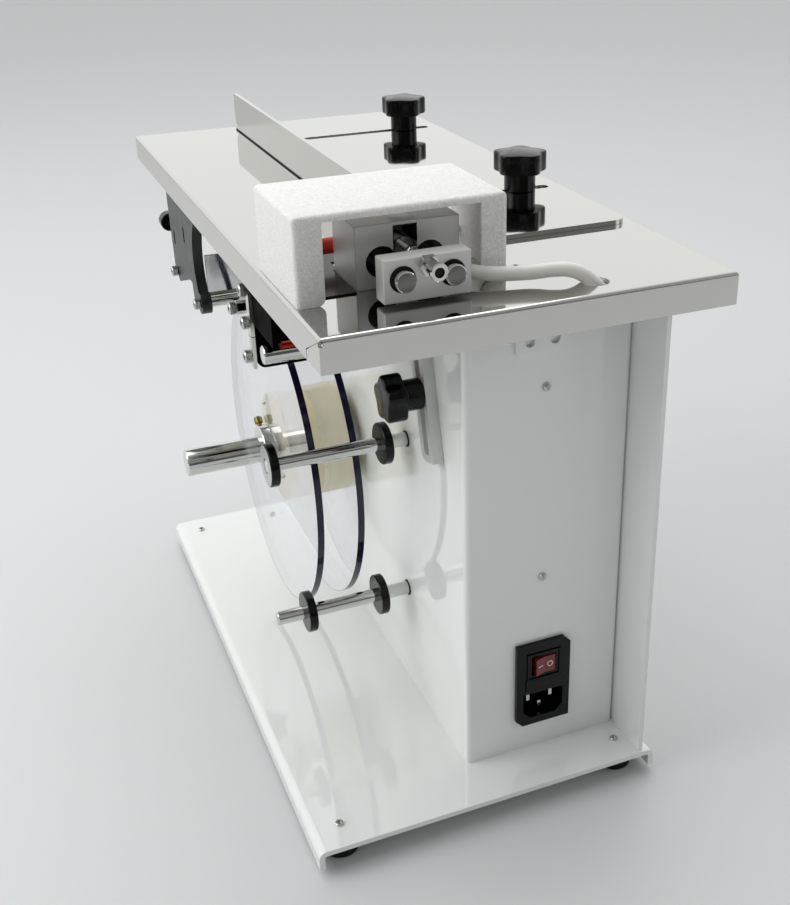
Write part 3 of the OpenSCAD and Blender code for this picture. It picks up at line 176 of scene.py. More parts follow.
# Gloss powder coat: clean white, sharp reflections that wobble slightly
made, tree, shader, place = finish("gloss_powder_coat", "#eef1ef", IOR=2.0)
peel = add(tree, "ShaderNodeTexNoise", {"Vector": place, "Scale": per_mm(PEEL_MM), "Detail": 1.0})
bump = add(tree, "ShaderNodeBump", {"Height": peel.outputs["Fac"], "Strength": 0.1,
                                    "Distance": 0.00001})
haze = add(tree, "ShaderNodeTexNoise", {"Vector": place, "Scale": per_mm(HAZE_MM), "Detail": 3.0})
rough = add(tree, "ShaderNodeMapRange", {"Value": haze.outputs["Fac"], "To Min": 0.03, "To Max": 0.06})
tree.links.new(bump.outputs["Normal"], shader.inputs["Normal"])
tree.links.new(rough.outputs["Result"], shader.inputs["Roughness"])
finishes["white_paint"] = made

# Wrinkle powder coat: soft white with a bark of tiny folds; its colour carries painted shade, darker in the
# hollows between the folds and lighter on their tops
made, tree, shader, place = finish("wrinkle_powder_coat", "#f2f2f0", Roughness=0.42)
worms = add(tree, "ShaderNodeTexNoise", {"Vector": place, "Scale": per_mm(WRINKLE_MM), "Detail": 2.0,
                                         "Distortion": 1.2})
# painted shade: the ramp darkens the hollows of the wrinkle noise and lightens its raised tops
painted_fold_shade_ramp = add(tree, "ShaderNodeValToRGB", {"Fac": worms.outputs["Fac"]})
painted_fold_shade_ramp.color_ramp.elements[0].position = 0.38
painted_fold_shade_ramp.color_ramp.elements[0].color = linear("#e4e4e1")
painted_fold_shade_ramp.color_ramp.elements[1].position = 0.62
painted_fold_shade_ramp.color_ramp.elements[1].color = linear("#f7f7f5")
bump = add(tree, "ShaderNodeBump", {"Height": worms.outputs["Fac"], "Strength": 1.0,
                                    "Distance": 0.0005})
tree.links.new(painted_fold_shade_ramp.outputs["Color"], shader.inputs["Base Color"])
tree.links.new(bump.outputs["Normal"], shader.inputs["Normal"])
finishes["wrinkle_paint"] = made
print("paints", list(finishes))

# %% [markdown]
# ## Dark coats and plastics
# The roller brackets are steel with a dark coat, the knobs and collars are moulded black nylon, and
# the feet and belt are rubber. Black things are never one flat black: a fine grain breaks the sheen.
# A low refractive index keeps the sides deep black and still lets the flat tops catch the light.

# %% Dark coats, plastics and rubber
GRAIN_MM, CLOUD_MM = 0.5, 9

# slot, name, colour, refractive index, least and most roughness, depth of the grain in metres
for slot_name, name, colour, index, low, high, depth in (
        ("dark_paint", "dark_satin_coat", "#1d201f", 1.45, 0.3, 0.44, 0.00003),
        ("black_paint", "matt_black_coat", "#020202", 1.12, 0.6, 0.75, 0.00002),
        ("black_plastic", "moulded_black_nylon", "#030304", 1.33, 0.16, 0.26, 0.00001),
        ("black_rubber", "moulded_black_rubber", "#0c0c0c", 1.35, 0.6, 0.75, 0.00003),
        ("red_rubber", "ground_red_urethane", "#d83a28", 1.45, 0.45, 0.6, 0.00003),
        ("pvc", "extruded_white_pvc", "#eeede6", 1.5, 0.3, 0.42, 0.00001),
        ("circuit_board", "green_solder_mask", "#1d5a35", 1.5, 0.25, 0.4, 0.00001)):
    made, tree, shader, place = finish(name, colour, IOR=index)
    grain = add(tree, "ShaderNodeTexNoise", {"Vector": place, "Scale": per_mm(GRAIN_MM), "Detail": 2.0})
    cloud = add(tree, "ShaderNodeTexNoise", {"Vector": place, "Scale": per_mm(CLOUD_MM), "Detail": 3.0})
    rough = add(tree, "ShaderNodeMapRange", {"Value": cloud.outputs["Fac"], "To Min": low,
                                             "To Max": high})
    bump = add(tree, "ShaderNodeBump", {"Height": grain.outputs["Fac"], "Strength": 0.4,
                                        "Distance": depth})
    tree.links.new(rough.outputs["Result"], shader.inputs["Roughness"])
    tree.links.new(bump.outputs["Normal"], shader.inputs["Normal"])
    finishes[slot_name] = made

# Translucent red polycarbonate of the rocker: dark wine red, glossy, a little light inside
made, tree, shader, place = finish("red_polycarbonate", "#7d1618", Roughness=0.2, IOR=1.58)
cloud = add(tree, "ShaderNodeTexNoise", {"Vector": place, "Scale": per_mm(CLOUD_MM), "Detail": 2.0})
tint = add(tree, "ShaderNodeMixRGB", {"Fac": cloud.outputs["Fac"], "Color1": linear("#5e1513"),
                                      "Color2": linear("#82221f")})
tree.links.new(tint.outputs["Color"], shader.inputs["Base Color"])
finishes["red_plastic"] = made
print("dark and coloured finishes", len(finishes))

# %% [markdown]
# ## Stainless sheet
# The table and fence are polished stainless: the top is a mirror with faint rubbing marks, and the
# folded skirts keep the satin grain of the sheet, which runs along the edge. One material serves both,
# because the surface's own normal tells top from skirt. The real grain is about 0.05 mm wide, so it
# is drawn at half a millimetre to show at all.

# %% Stainless sheet
GRAIN_WIDTH_MM, GRAIN_LENGTH_MM = 0.5, 60

made, tree, shader, place = finish("polished_stainless", "#cfcfcb", Metallic=1.0)
normal = add(tree, "ShaderNodeTexCoord").outputs["Normal"]
upward = add(tree, "ShaderNodeSeparateXYZ", {"Vector": normal})
level = add(tree, "ShaderNodeMath", {0: upward.outputs["Z"]}, operation="ABSOLUTE")
flat = add(tree, "ShaderNodeMapRange", {"Value": level.outputs[0], "From Min": 0.5, "From Max": 0.9})
grain_place = add(tree, "ShaderNodeMapping", {"Vector": place, "Scale": (
    per_mm(GRAIN_LENGTH_MM), per_mm(GRAIN_LENGTH_MM), per_mm(GRAIN_WIDTH_MM))})
grain = add(tree, "ShaderNodeTexNoise", {"Vector": grain_place.outputs["Vector"], "Scale": 1.0,
                                         "Detail": 3.0})
smear = add(tree, "ShaderNodeTexNoise", {"Vector": place, "Scale": per_mm(HAZE_MM), "Detail": 4.0})
top_rough = add(tree, "ShaderNodeMapRange", {"Value": smear.outputs["Fac"], "To Min": 0.03,
                                             "To Max": 0.06})
side_rough = add(tree, "ShaderNodeMapRange", {"Value": grain.outputs["Fac"], "To Min": 0.16,
                                              "To Max": 0.28})
rough = add(tree, "ShaderNodeMix", {0: flat.outputs["Result"], 2: side_rough.outputs["Result"],
                                    3: top_rough.outputs["Result"]}, data_type="FLOAT")
depth = add(tree, "ShaderNodeMath", {0: 1.0, 1: flat.outputs["Result"]}, operation="SUBTRACT")
bump = add(tree, "ShaderNodeBump", {"Height": grain.outputs["Fac"], "Strength": depth.outputs[0],
                                    "Distance": 0.00001})
tree.links.new(rough.outputs[0], shader.inputs["Roughness"])
tree.links.new(bump.outputs["Normal"], shader.inputs["Normal"])
finishes["stainless"] = made
print("stainless grain", GRAIN_WIDTH_MM, "mm")

# %% [markdown]
# ## Turned, plated and milled metal
# Rods and rollers are ground bright, with hairlines round them. Screws are zinc plated, and the lock
# screw is brass gone olive. The head is sawn and milled aluminium: on its left and right sides the saw
# left nearly level bands about a millimetre apart. A wave pattern repeats them, and the surface's own
# normal keeps it off the milled faces. A sawn face is dull with oxide and scatters light as paint
# does, so it is only half metallic.

# %% Turned, plated and milled metal
TURN_MM, STREAK_MM, SAW_MM, MILL_MM = 0.6, 20, 1.1, 0.4
SAW_LEAN = math.radians(-8)
WAVE_PERIOD = math.tau / 20  # metres between two bands at a scale of 1

for slot_name, name, colour, low, high in (
        ("steel", "ground_bright_steel", "#d3d4d2", 0.06, 0.14),
        ("zinc_steel", "zinc_plated_steel", "#c3c4c2", 0.2, 0.34),
        ("brass", "dull_brass", "#7d7446", 0.24, 0.36)):
    made, tree, shader, place = finish(name, colour, Metallic=1.0)
    along = add(tree, "ShaderNodeMapping", {"Vector": place, "Scale": (
        per_mm(TURN_MM), per_mm(STREAK_MM), per_mm(STREAK_MM))})
    lines = add(tree, "ShaderNodeTexNoise", {"Vector": along.outputs["Vector"], "Scale": 1.0,
                                             "Detail": 2.0})
    rough = add(tree, "ShaderNodeMapRange", {"Value": lines.outputs["Fac"], "To Min": low,
                                             "To Max": high})
    bump = add(tree, "ShaderNodeBump", {"Height": lines.outputs["Fac"], "Strength": 0.15,
                                        "Distance": 0.00001})
    tree.links.new(rough.outputs["Result"], shader.inputs["Roughness"])
    tree.links.new(bump.outputs["Normal"], shader.inputs["Normal"])
    finishes[slot_name] = made

# Sawn aluminium: pale and dull, with faint darker bands across its sides
made, tree, shader, place = finish("sawn_aluminium", "#cfd0cd", Metallic=0.45)
normal = add(tree, "ShaderNodeTexCoord").outputs["Normal"]
sideways = add(tree, "ShaderNodeSeparateXYZ", {"Vector": normal})
sawn = add(tree, "ShaderNodeMath", {0: sideways.outputs["X"]}, operation="ABSOLUTE")
slant = add(tree, "ShaderNodeMapping", {"Vector": place, "Rotation": (SAW_LEAN, 0, 0)})
bands = add(tree, "ShaderNodeTexWave", {"Vector": slant.outputs["Vector"],
                                        "Scale": per_mm(SAW_MM) * WAVE_PERIOD, "Distortion": 0.8,
                                        "Detail": 2.0, "Detail Scale": 2.0}, bands_direction="Z")
fine = add(tree, "ShaderNodeTexNoise", {"Vector": place, "Scale": per_mm(MILL_MM), "Detail": 3.0})
marks = add(tree, "ShaderNodeMath", {0: bands.outputs["Fac"], 1: sawn.outputs[0]},
            operation="MULTIPLY")
height = add(tree, "ShaderNodeMath", {0: marks.outputs[0], 1: fine.outputs["Fac"]}, operation="ADD")
rough = add(tree, "ShaderNodeMapRange", {"Value": height.outputs[0], "From Max": 2.0, "To Min": 0.34,
                                         "To Max": 0.56})
bump = add(tree, "ShaderNodeBump", {"Height": height.outputs[0], "Strength": 0.35,
                                    "Distance": 0.00006})
tint = add(tree, "ShaderNodeMixRGB", {"Fac": marks.outputs[0], "Color1": linear("#d8d9d6"),
                                      "Color2": linear("#b2b3ad")})
tree.links.new(tint.outputs["Color"], shader.inputs["Base Color"])
tree.links.new(rough.outputs["Result"], shader.inputs["Roughness"])
tree.links.new(bump.outputs["Normal"], shader.inputs["Normal"])
finishes["aluminium"] = made
print("metals", list(finishes)[-4:])

# %% [markdown]
# ## Clear discs and nylon hub
# The reel's discs are clear acrylic sheet, seen so slantwise that they mirror the pale room more than
# they let through: a white veil in which the shaft and its collar show twice. Refraction would cast
# dark shadows on the tower, and a four millimetre sheet hardly bends the view, so the sheet is a thin
# mirror over plain transparency. The hub behind is turned from natural nylon, a waxy cream.

# %% Clear discs and nylon hub
RING_MM, RING_LENGTH_MM = 1.4, 25

# Clear acrylic sheet: a white veil with sharp reflections
made, tree, shader, place = finish("clear_acrylic_sheet", "#f4f5f8", Metallic=0.85, Roughness=0.02)
streak = add(tree, "ShaderNodeTexNoise", {"Vector": place, "Scale": per_mm(HAZE_MM), "Detail": 3.0})
veil = add(tree, "ShaderNodeMapRange", {"Value": streak.outputs["Fac"], "To Min": 0.56, "To Max": 0.64})
tree.links.new(veil.outputs["Result"], shader.inputs["Alpha"])
finishes["clear_acrylic"] = made

# Natural nylon: waxy cream with faint rings from turning
made, tree, shader, place = finish("natural_nylon", "#e8dfc6", Roughness=0.36, IOR=1.53)
turned = add(tree, "ShaderNodeMapping", {"Vector": place, "Scale": (
    per_mm(RING_MM), per_mm(RING_LENGTH_MM), per_mm(RING_LENGTH_MM))})
rings = add(tree, "ShaderNodeTexNoise", {"Vector": turned.outputs["Vector"], "Scale": 1.0,
                                         "Detail": 2.0})
tint = add(tree, "ShaderNodeMixRGB", {"Fac": rings.outputs["Fac"], "Color1": linear("#ddd2a8"),
                                      "Color2": linear("#ece4c4")})
bump = add(tree, "ShaderNodeBump", {"Height": rings.outputs["Fac"], "Strength": 0.2,
                                    "Distance": 0.00003})
tree.links.new(tint.outputs["Color"], shader.inputs["Base Color"])
tree.links.new(bump.outputs["Normal"], shader.inputs["Normal"])
finishes["nylon"] = made

# Edge of the acrylic: its violet black is a painted reflection, the dark of the room that the clear cut edge
# mirrors, with a soft gloss
made, tree, shader, place = finish("acrylic_edge", "#17142b", Roughness=0.12, IOR=1.49)
cloud = add(tree, "ShaderNodeTexNoise", {"Vector": place, "Scale": per_mm(CLOUD_MM), "Detail": 2.0})
tint = add(tree, "ShaderNodeMixRGB", {"Fac": cloud.outputs["Fac"], "Color1": linear("#120f22"),
                                      "Color2": linear("#211c3c")})
tree.links.new(tint.outputs["Color"], shader.inputs["Base Color"])
finishes["disc_edge_painted_reflection"] = made

# Inner side of that edge, seen through the sheet: pale and milky
made, tree, shader, place = finish("acrylic_edge_inside", "#f0f1f3", Roughness=0.3)
cloud = add(tree, "ShaderNodeTexNoise", {"Vector": place, "Scale": per_mm(CLOUD_MM), "Detail": 2.0})
rough = add(tree, "ShaderNodeMapRange", {"Value": cloud.outputs["Fac"], "To Min": 0.25, "To Max": 0.4})
tree.links.new(rough.outputs["Result"], shader.inputs["Roughness"])
finishes["disc_lining"] = made
print("discs and hub", list(finishes)[-4:])

# %% [markdown]
# ## Dress the CAD nodes
# The record names a material slot for each node, so one loop puts the finish of that slot on it. The
# meshes stay as the CAD made them.

# %% Dress the CAD nodes
for part in frame["record"]["subparts"]:
    shown = nodes[part["node"]]
    if not shown.material_slots:
        shown.data.materials.append(None)
    for used in shown.material_slots:
        used.material = finishes[part["material_slot"]]
for clear in (nodes["outer_disc"], nodes["inner_disc"]):
    clear.visible_shadow = clear.visible_diffuse = False  # clear sheet hardly dims the light behind it

# %% [markdown]
# ## The white lead
# A round PVC lead leaves the head block, bows over the table and drops through a hole to the terminal
# block inside. A swept mesh would do, but a curve with a round bevel stays editable and its length can
# be measured. The points are the same route that the CAD solid follows.

# %% The white lead
LEAD_ROUTE = [(82.5, 50, 7), (82.5, 47, 7), (83, 43, 7), (85.6, 37.6, 6.8), (90.8, 32.8, 6.4),
              (98, 29.8, 6), (106, 27.6, 5.8), (114, 25.4, 6), (122, 22.6, 6.8), (129, 20.2, 6.4),
              (135, 18.4, 3.8), (140, 17, -0.4), (145, 17.4, -5), (150.5, 20, -8.6), (154.4, 25, -10),
              (156, 31, -10), (156, 38, -10), (156, 46, -10)]
LEAD_DIA = 0.007

route = bpy.data.curves.new("white_lead", "CURVE")
route.dimensions = "3D"
route.bevel_depth = LEAD_DIA / 2
route.bevel_resolution = 6
route.resolution_u = 8
route.use_fill_caps = True
spline = route.splines.new("BEZIER")
spline.bezier_points.add(len(LEAD_ROUTE) - 1)
for knot, spot in zip(spline.bezier_points, LEAD_ROUTE):
    knot.co = at(*spot)
    knot.handle_left_type = knot.handle_right_type = "AUTO"
route.materials.append(finishes["pvc"])
lead = bpy.data.objects.new("white_lead", route)
scene.collection.objects.link(lead)
bpy.context.view_layer.update()
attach(lead, "machine")
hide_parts("cable")

# %% [markdown]
# ## Helpers for new pieces
# Most small parts are turned, so one helper spins a profile of (radius, height) points round an axis.
# Another makes the mesh an object, gives it a finish and lets it ride on its body. A piece keeps its
# place in its mesh and its object stays at the origin, as a CAD node does.

# %% Helpers for new pieces
SHARP = math.radians(32)


def axis_frame(origin, axis, twist=0.0):
    """A frame at a point whose Z runs along the axis."""
    spin = Vector(axis).to_track_quat("Z", "Y").to_matrix().to_4x4()
    return Matrix.Translation(origin) @ spin @ Matrix.Rotation(math.radians(twist), 4, "Z")


def put(bm, part, place):
    """Moves a part's bmesh to its place and adds it to another."""
    bmesh.ops.transform(part, matrix=place, verts=part.verts)
    bmesh.ops.recalc_face_normals(part, faces=part.faces)
    carrier = bpy.data.meshes.new("carrier")
    part.to_mesh(carrier)
    part.free()
    bm.from_mesh(carrier)
    bpy.data.meshes.remove(carrier)


def lathe(bm, profile, place, steps=48):
    """Spins (radius, height) points in mm round the frame's Z axis."""
    part = bmesh.new()
    line = [part.verts.new((r / 1000, 0, h / 1000)) for r, h in profile]
    edges = [part.edges.new(pair) for pair in zip(line, line[1:])]
    bmesh.ops.spin(part, geom=line + edges, cent=(0, 0, 0), axis=(0, 0, 1), angle=2 * math.pi,
                   steps=steps, use_merge=True)
    bmesh.ops.remove_doubles(part, verts=part.verts, dist=1e-6)
    put(bm, part, place)


def piece(bm, name, slot_name, body, look=None):
    """Turns a bmesh into an object with its finish, riding on its body."""
    mesh = bpy.data.meshes.new(name)
    bm.to_mesh(mesh)
    bm.free()
    mesh.materials.append(finishes[look or slot_name])
    mesh.shade_smooth()
    mesh.set_sharp_from_angle(angle=SHARP)
    made = bpy.data.objects.new(name, mesh)
    scene.collection.objects.link(made)
    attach(made, body)
    print(name, len(mesh.polygons), "faces on", body)
    return made


X, Y, Z = Vector((1, 0, 0)), Vector((0, 1, 0)), Vector((0, 0, 1))

# %% [markdown]
# ## Return spring
# Behind the trigger bar a coil spring in the block's keyway pushes it out. The CAD holds a coarse coil;
# here a round wire section is screwed round the axis, which is a spin with a step along it, and the
# wire's ends are capped.

# %% Return spring
COIL_R, WIRE_R, TURNS, STEPS, WIRE_SIDES = 3.6, 0.55, 7, 28, 12

spring_lo, spring_hi = (Vector(p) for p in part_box("return_spring"))
spring_mid = (spring_lo + spring_hi) / 2
spring_run = (spring_hi.y - spring_lo.y) - 2 * WIRE_R / 1000
bm = bmesh.new()
wire_place = Matrix.Translation((COIL_R / 1000, 0, 0)) @ Matrix.Rotation(math.pi / 2, 4, "X")
bmesh.ops.create_circle(bm, segments=WIRE_SIDES, radius=WIRE_R / 1000, cap_ends=True, matrix=wire_place)
section = list(bm.verts) + list(bm.edges) + list(bm.faces)
bmesh.ops.spin(bm, geom=section, cent=(0, 0, 0), axis=(0, 0, 1), angle=2 * math.pi * TURNS,
               dvec=(0, 0, spring_run / (TURNS * STEPS)), steps=TURNS * STEPS)
bmesh.ops.recalc_face_normals(bm, faces=bm.faces)
start = Vector((spring_mid.x, spring_lo.y + WIRE_R / 1000, spring_mid.z))
bmesh.ops.transform(bm, matrix=axis_frame(start, Y), verts=bm.verts)
spring = piece(bm, "return_spring_wire", "steel", "machine")
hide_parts("return_spring")
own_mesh(spring)

# %% [markdown]
# ## Star knobs
# Three moulded knobs clamp the fence and the slotted bar. A circle whose rim is pushed in between five
# lobes gives the head; it is extruded, its rims are bevelled, and a turned neck and a steel stud are
# added. The scallops are shallow, so that the top reads as a flat with five blunt corners.

# %% Star knobs
LOBES, RIM_POINTS, SCALLOP = 5, 120, 0.18
FENCE_KNOB = {"dia": 32, "head": 11.5, "neck": 11, "neck_r": 9.2, "stud_r": 3, "stud_len": 12, "edge": 1.0}
BAR_KNOB = {"dia": 26, "head": 11, "neck": 10, "neck_r": 8.3, "stud_r": 3, "stud_len": 8, "edge": 1.6}
FENCE_KNOB_X, FENCE_KNOB_LIFT, FENCE_KNOB_TWIST = 179, 2.7, 244
BAR_KNOB_SPOT, BAR_KNOB_TWIST = (74.8, 78, -70), 26


def lift(bm, faces, height):
    """Extrudes faces and raises the new ones along Z by a height in mm."""
    grown = bmesh.ops.extrude_face_region(bm, geom=faces)["geom"]
    raised = [g for g in grown if isinstance(g, bmesh.types.BMVert)]
    bmesh.ops.translate(bm, vec=(0, 0, height / 1000), verts=raised)


def soften(bm, edges, width, segments):
    """Rounds edges by a bevel of a width in mm."""
    bmesh.ops.bevel(bm, geom=edges, offset=width / 1000, segments=segments, profile=0.5, affect="EDGES",
                    material=-1)


def star_knob(name, body, node, place, dia, head, neck, neck_r, stud_r, stud_len, edge):
    """A star knob, of sizes in mm, that stands on a frame's origin along its Z axis."""
    star = bmesh.new()
    rim = bmesh.ops.create_circle(star, segments=RIM_POINTS, radius=dia / 2000, cap_ends=True)["verts"]
    for v in rim:
        wave = 0.5 - 0.5 * math.cos(LOBES * math.atan2(v.co.y, v.co.x))
        v.co *= 1 - SCALLOP * wave
    lift(star, list(star.faces), head)
    rims = [e for e in star.edges if abs(e.verts[0].co.z - e.verts[1].co.z) < 1e-6]
    soften(star, rims, edge, 3)
    bm = bmesh.new()
    put(bm, star, place @ Matrix.Translation((0, 0, neck / 1000)))
    lathe(bm, [(0, 0), (neck_r - 0.4, 0), (neck_r, 0.4), (neck_r, neck + 0.3), (0, neck + 0.3)], place)
    made = piece(bm, name, "black_plastic", body)
    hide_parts(node)
    bm = bmesh.new()
    lathe(bm, [(0, 0.5), (stud_r, 0.5), (stud_r, 0.5 - stud_len), (stud_r - 0.5, -stud_len),
               (0, -stud_len)], place)
    piece(bm, name + "_stud", "steel", body)


for name, body, node, y in (("near_star_knob", "near_knob", "fence_knob_near", 175.5),
                            ("far_star_knob", "far_knob", "fence_knob_far", 365.5)):
    seat = axis_frame(at(FENCE_KNOB_X, y, FENCE_KNOB_LIFT), Z, FENCE_KNOB_TWIST)
    star_knob(name, body, node, seat, **FENCE_KNOB)
seat = axis_frame(at(*BAR_KNOB_SPOT), -X, BAR_KNOB_TWIST)
star_knob("bar_star_knob", "bar_clamp", "bar_knob", seat, **BAR_KNOB)

# %% [markdown]
# ## Reel: disc edges, disc screws and collar face
# Looked at through its face the acrylic is clear, but its cut edge shows nearly black from outside. A
# thin band round each disc is painted that dark, a painted reflection of the dark room, and a pale ring
# lines it, because from within the edge looks milky. Small screws hold the outer disc to the hub's web,
# the near guide collar has a bright face, and a black ring at each guide rod's root is painted shade
# where the rod meets the wall.

# %% Disc edges
REEL = (224.0, -158.5)
OUTER_X, INNER_X = 28.5, 53.0
DISC_R, DISC_T, BAND, LINING = 98.5, 4.0, 0.15, 0.5
BITE, INSET, DISC_STEPS = 0.03, 0.1, 160


def ring(bm, inner, outer, low, high, place, steps):
    """A ring with a square section, between two radii and two heights in mm."""
    lathe(bm, [(inner, low), (outer, low), (outer, high), (inner, high), (inner, low)], place, steps)


for name, x in (("outer_disc", OUTER_X), ("inner_disc", INNER_X)):
    centre = axis_frame(at(x, *REEL), X)
    bm = bmesh.new()
    ring(bm, DISC_R - BITE, DISC_R + BAND, 0, DISC_T, centre, DISC_STEPS)
    piece(bm, name + "_edge", "clear_acrylic", "reel", look="disc_edge_painted_reflection")
    bm = bmesh.new()
    ring(bm, DISC_R - LINING, DISC_R - INSET, INSET, DISC_T - INSET, centre, DISC_STEPS)
    piece(bm, name + "_edge_lining", "clear_acrylic", "reel", look="disc_lining")

# %% Disc screws
SCREWS, SCREW_RING, SCREW_R, FIRST_SCREW = 3, 29.0, 1.3, 75

bm = bmesh.new()
for i in range(SCREWS):
    a = math.radians(FIRST_SCREW + 360 / SCREWS * i)
    spot = at(OUTER_X, REEL[0] + SCREW_RING * math.cos(a), REEL[1] + SCREW_RING * math.sin(a))
    lathe(bm, [(0, 0.6), (0.8, 0.6), (0.9, 1.1), (SCREW_R - 0.4, 1.0), (SCREW_R, 0.5),
               (SCREW_R, -0.05), (0, -0.05)], axis_frame(spot, -X), steps=20)
piece(bm, "disc_screws", "zinc_steel", "reel")

# %% Guide collar's face and painted shade rings at the rod roots
UPPER_ROD, LOWER_ROD = (117, -115), (122, -217)
FACE_BORE, FACE_R, FACE_T = 4.3, 11.2, 0.12
SHADE_RING_BORE, SHADE_RING_R, SHADE_RING_T = 4.02, 4.7, 0.5
WALL_X = 1000 * (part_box("housing")[0][0] - corner.x)

bm = bmesh.new()
ring(bm, FACE_BORE, FACE_R, 0, FACE_T, axis_frame(at(0, *UPPER_ROD), -X), 64)
piece(bm, "guide_collar_face", "zinc_steel", "guide_upper_left")

# painted shade: thin black rings where the guide rods meet the wall stand in for the contact shade there
bm = bmesh.new()
for rod in (UPPER_ROD, LOWER_ROD):
    ring(bm, SHADE_RING_BORE, SHADE_RING_R, 0, SHADE_RING_T, axis_frame(at(WALL_X, *rod), -X), 40)
piece(bm, "rod_root_shade_rings", "black_rubber", "machine")

# %% [markdown]
# ## Screws
# The cap screws under the table have knurled heads, drawn as a ring with every other point lifted. The
# pan heads have a cross: two thin bars that just break the dome show it well enough at this size. The
# base's screws have a socket, which is a hollow turned with the head.

# %% Knurled cap heads
CAP_R, CAP_H, TEETH, TOOTH = 3.4, 4.2, 30, 0.06
SINK, KNURL_T, KNURL_START, PLAIN = 0.02, 0.4, 0.6, 1.2
CAP_SPOTS = ((3, 141, -22.7), (3, 141, -40.9), (3, 141, -60.2), (3, 169.5, -42.2),
             (6.5, 293.5, -81), (6.5, 365.5, -80))

bm = bmesh.new()
for x, y, z in CAP_SPOTS:
    band = bmesh.new()
    rim = bmesh.ops.create_circle(band, segments=2 * TEETH, radius=(CAP_R - SINK) / 1000,
                                  cap_ends=True)["verts"]
    for i, v in enumerate(rim):
        v.co *= 1 + TOOTH * (i % 2)
    bmesh.ops.inset_region(band, faces=list(band.faces), thickness=KNURL_T / 1000, use_boundary=True,
                           use_even_offset=True)
    bmesh.ops.delete(band, geom=[f for f in band.faces if len(f.verts) > 4], context="FACES")
    lift(band, list(band.faces), CAP_H - PLAIN)
    put(bm, band, axis_frame(at(x - CAP_H + KNURL_START, y, z), X))
piece(bm, "knurled_cap_bands", "zinc_steel", "machine")

# %% Pan heads
PAN_R, LUG_HEAD_R = 2.3, 4.0
FRONT_Y, LUG_Y, PANEL_X = 35, 33, 177.5


def block(bm, place, size):
    """A box of a size in mm, centred on a frame's origin."""
    bmesh.ops.create_cube(bm, size=0.001, matrix=place @ Matrix.Diagonal((*size, 1)))


def cross_head(bm, spot, axis, r, twist):
    """A domed head with a cross on it."""
    place = axis_frame(spot, axis, twist)
    lathe(bm, [(0, 1.75), (r * 0.5, 1.68), (r * 0.85, 1.3), (r, 0.7), (r, -0.02), (0, -0.02)], place,
          steps=32)
    for quarter in (0, 90):
        arm = Matrix.Rotation(math.radians(quarter), 4, "Z") @ Matrix.Translation((0, 0, 0.00155))
        block(bm, place @ arm, (r * 1.1, 0.7, 0.5))


bm = bmesh.new()
for z in (-58.5, -170):
    cross_head(bm, at(126, FRONT_Y, z), -Y, PAN_R, 20)
for x in (115.5, 129.5):
    cross_head(bm, at(x, LUG_Y, -25), -Y, LUG_HEAD_R, 35)
for y in (41, 334):
    for z in (-243.5, -41.5):
        cross_head(bm, at(PANEL_X, y, z), X, PAN_R, 10)
heads = piece(bm, "cross_recess_screws", "zinc_steel", "machine")
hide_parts("housing_screws")

# %% Socket heads
SOCKET_HEAD = [(0, -8.5), (1.5, -8.5), (1.5, -0.05), (2.3, -0.05), (2.3, 1.0), (2.0, 1.3), (1.3, 1.3),
               (1.3, 0.2), (0, 0.2)]
BASE_TOP = -283.5

bm = bmesh.new()
for x in (0.5, 167.5):
    for y in (20.5, 355.5):
        lathe(bm, SOCKET_HEAD, axis_frame(at(x, y, BASE_TOP), Z), steps=24)
sockets = piece(bm, "base_socket_screws", "zinc_steel", "machine")
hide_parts("foot_screws")

# %% [markdown]
# ## Mains inlet
# The rocker carries a line and a circle in white, and it sits in a stepped frame. The marks are thin
# raised pieces on its two faces, so that they tilt with it. The frame is a flat box whose front and
# back are inset and bridged, which leaves a hole between them.

# %% Rocker marks
INLET_X, ROCKER_Z = 127, -226.5
TILT, LEAN = 8.0, 8.3
HALF_FACE, FACE_OUT = 3.1, 3.58

# White printing ink: chalky, tinted by the red below it
made, tree, shader, place = finish("white_print", "#e9c9c4", Roughness=0.4)
cloud = add(tree, "ShaderNodeTexNoise", {"Vector": place, "Scale": per_mm(CLOUD_MM)})
rough = add(tree, "ShaderNodeMapRange", {"Value": cloud.outputs["Fac"], "To Min": 0.35, "To Max": 0.5})
tree.links.new(rough.outputs["Result"], shader.inputs["Roughness"])
finishes["print"] = made

rocker_axis = Matrix.Translation(at(INLET_X, FRONT_Y, ROCKER_Z))
turned_rocker = rocker_axis @ Matrix.Rotation(math.radians(TILT), 4, "Z")
upright = Matrix.Rotation(math.radians(90), 4, "X")
bm = bmesh.new()
for side in (-1, 1):
    # each half of the V face leans away from the middle: the line is on the left, the circle on the right
    half = Matrix.Translation((side * HALF_FACE / 1000, -FACE_OUT / 1000, 0))
    face = turned_rocker @ half @ Matrix.Rotation(math.radians(-side * LEAN), 4, "Z") @ upright
    if side < 0:
        block(bm, face, (3.6, 0.7, 0.12))
    else:
        ring(bm, 1.25, 1.85, -0.06, 0.06, face, 32)
piece(bm, "rocker_marks", "red_plastic", "rocker", look="print")

# %% Rocker frame
FRAME_Y, FRAME_SIZE, FRAME_RIM, HOLE_AREA = 32.2, (20.6, 0.9, 17.6), 1.4, 0.0002


def wide_faces(bm):
    """The faces to the front and back that the hole goes through, told by their area in square metres."""
    return [f for f in bm.faces if abs(f.normal.y) > 0.5 and f.calc_area() > HOLE_AREA]


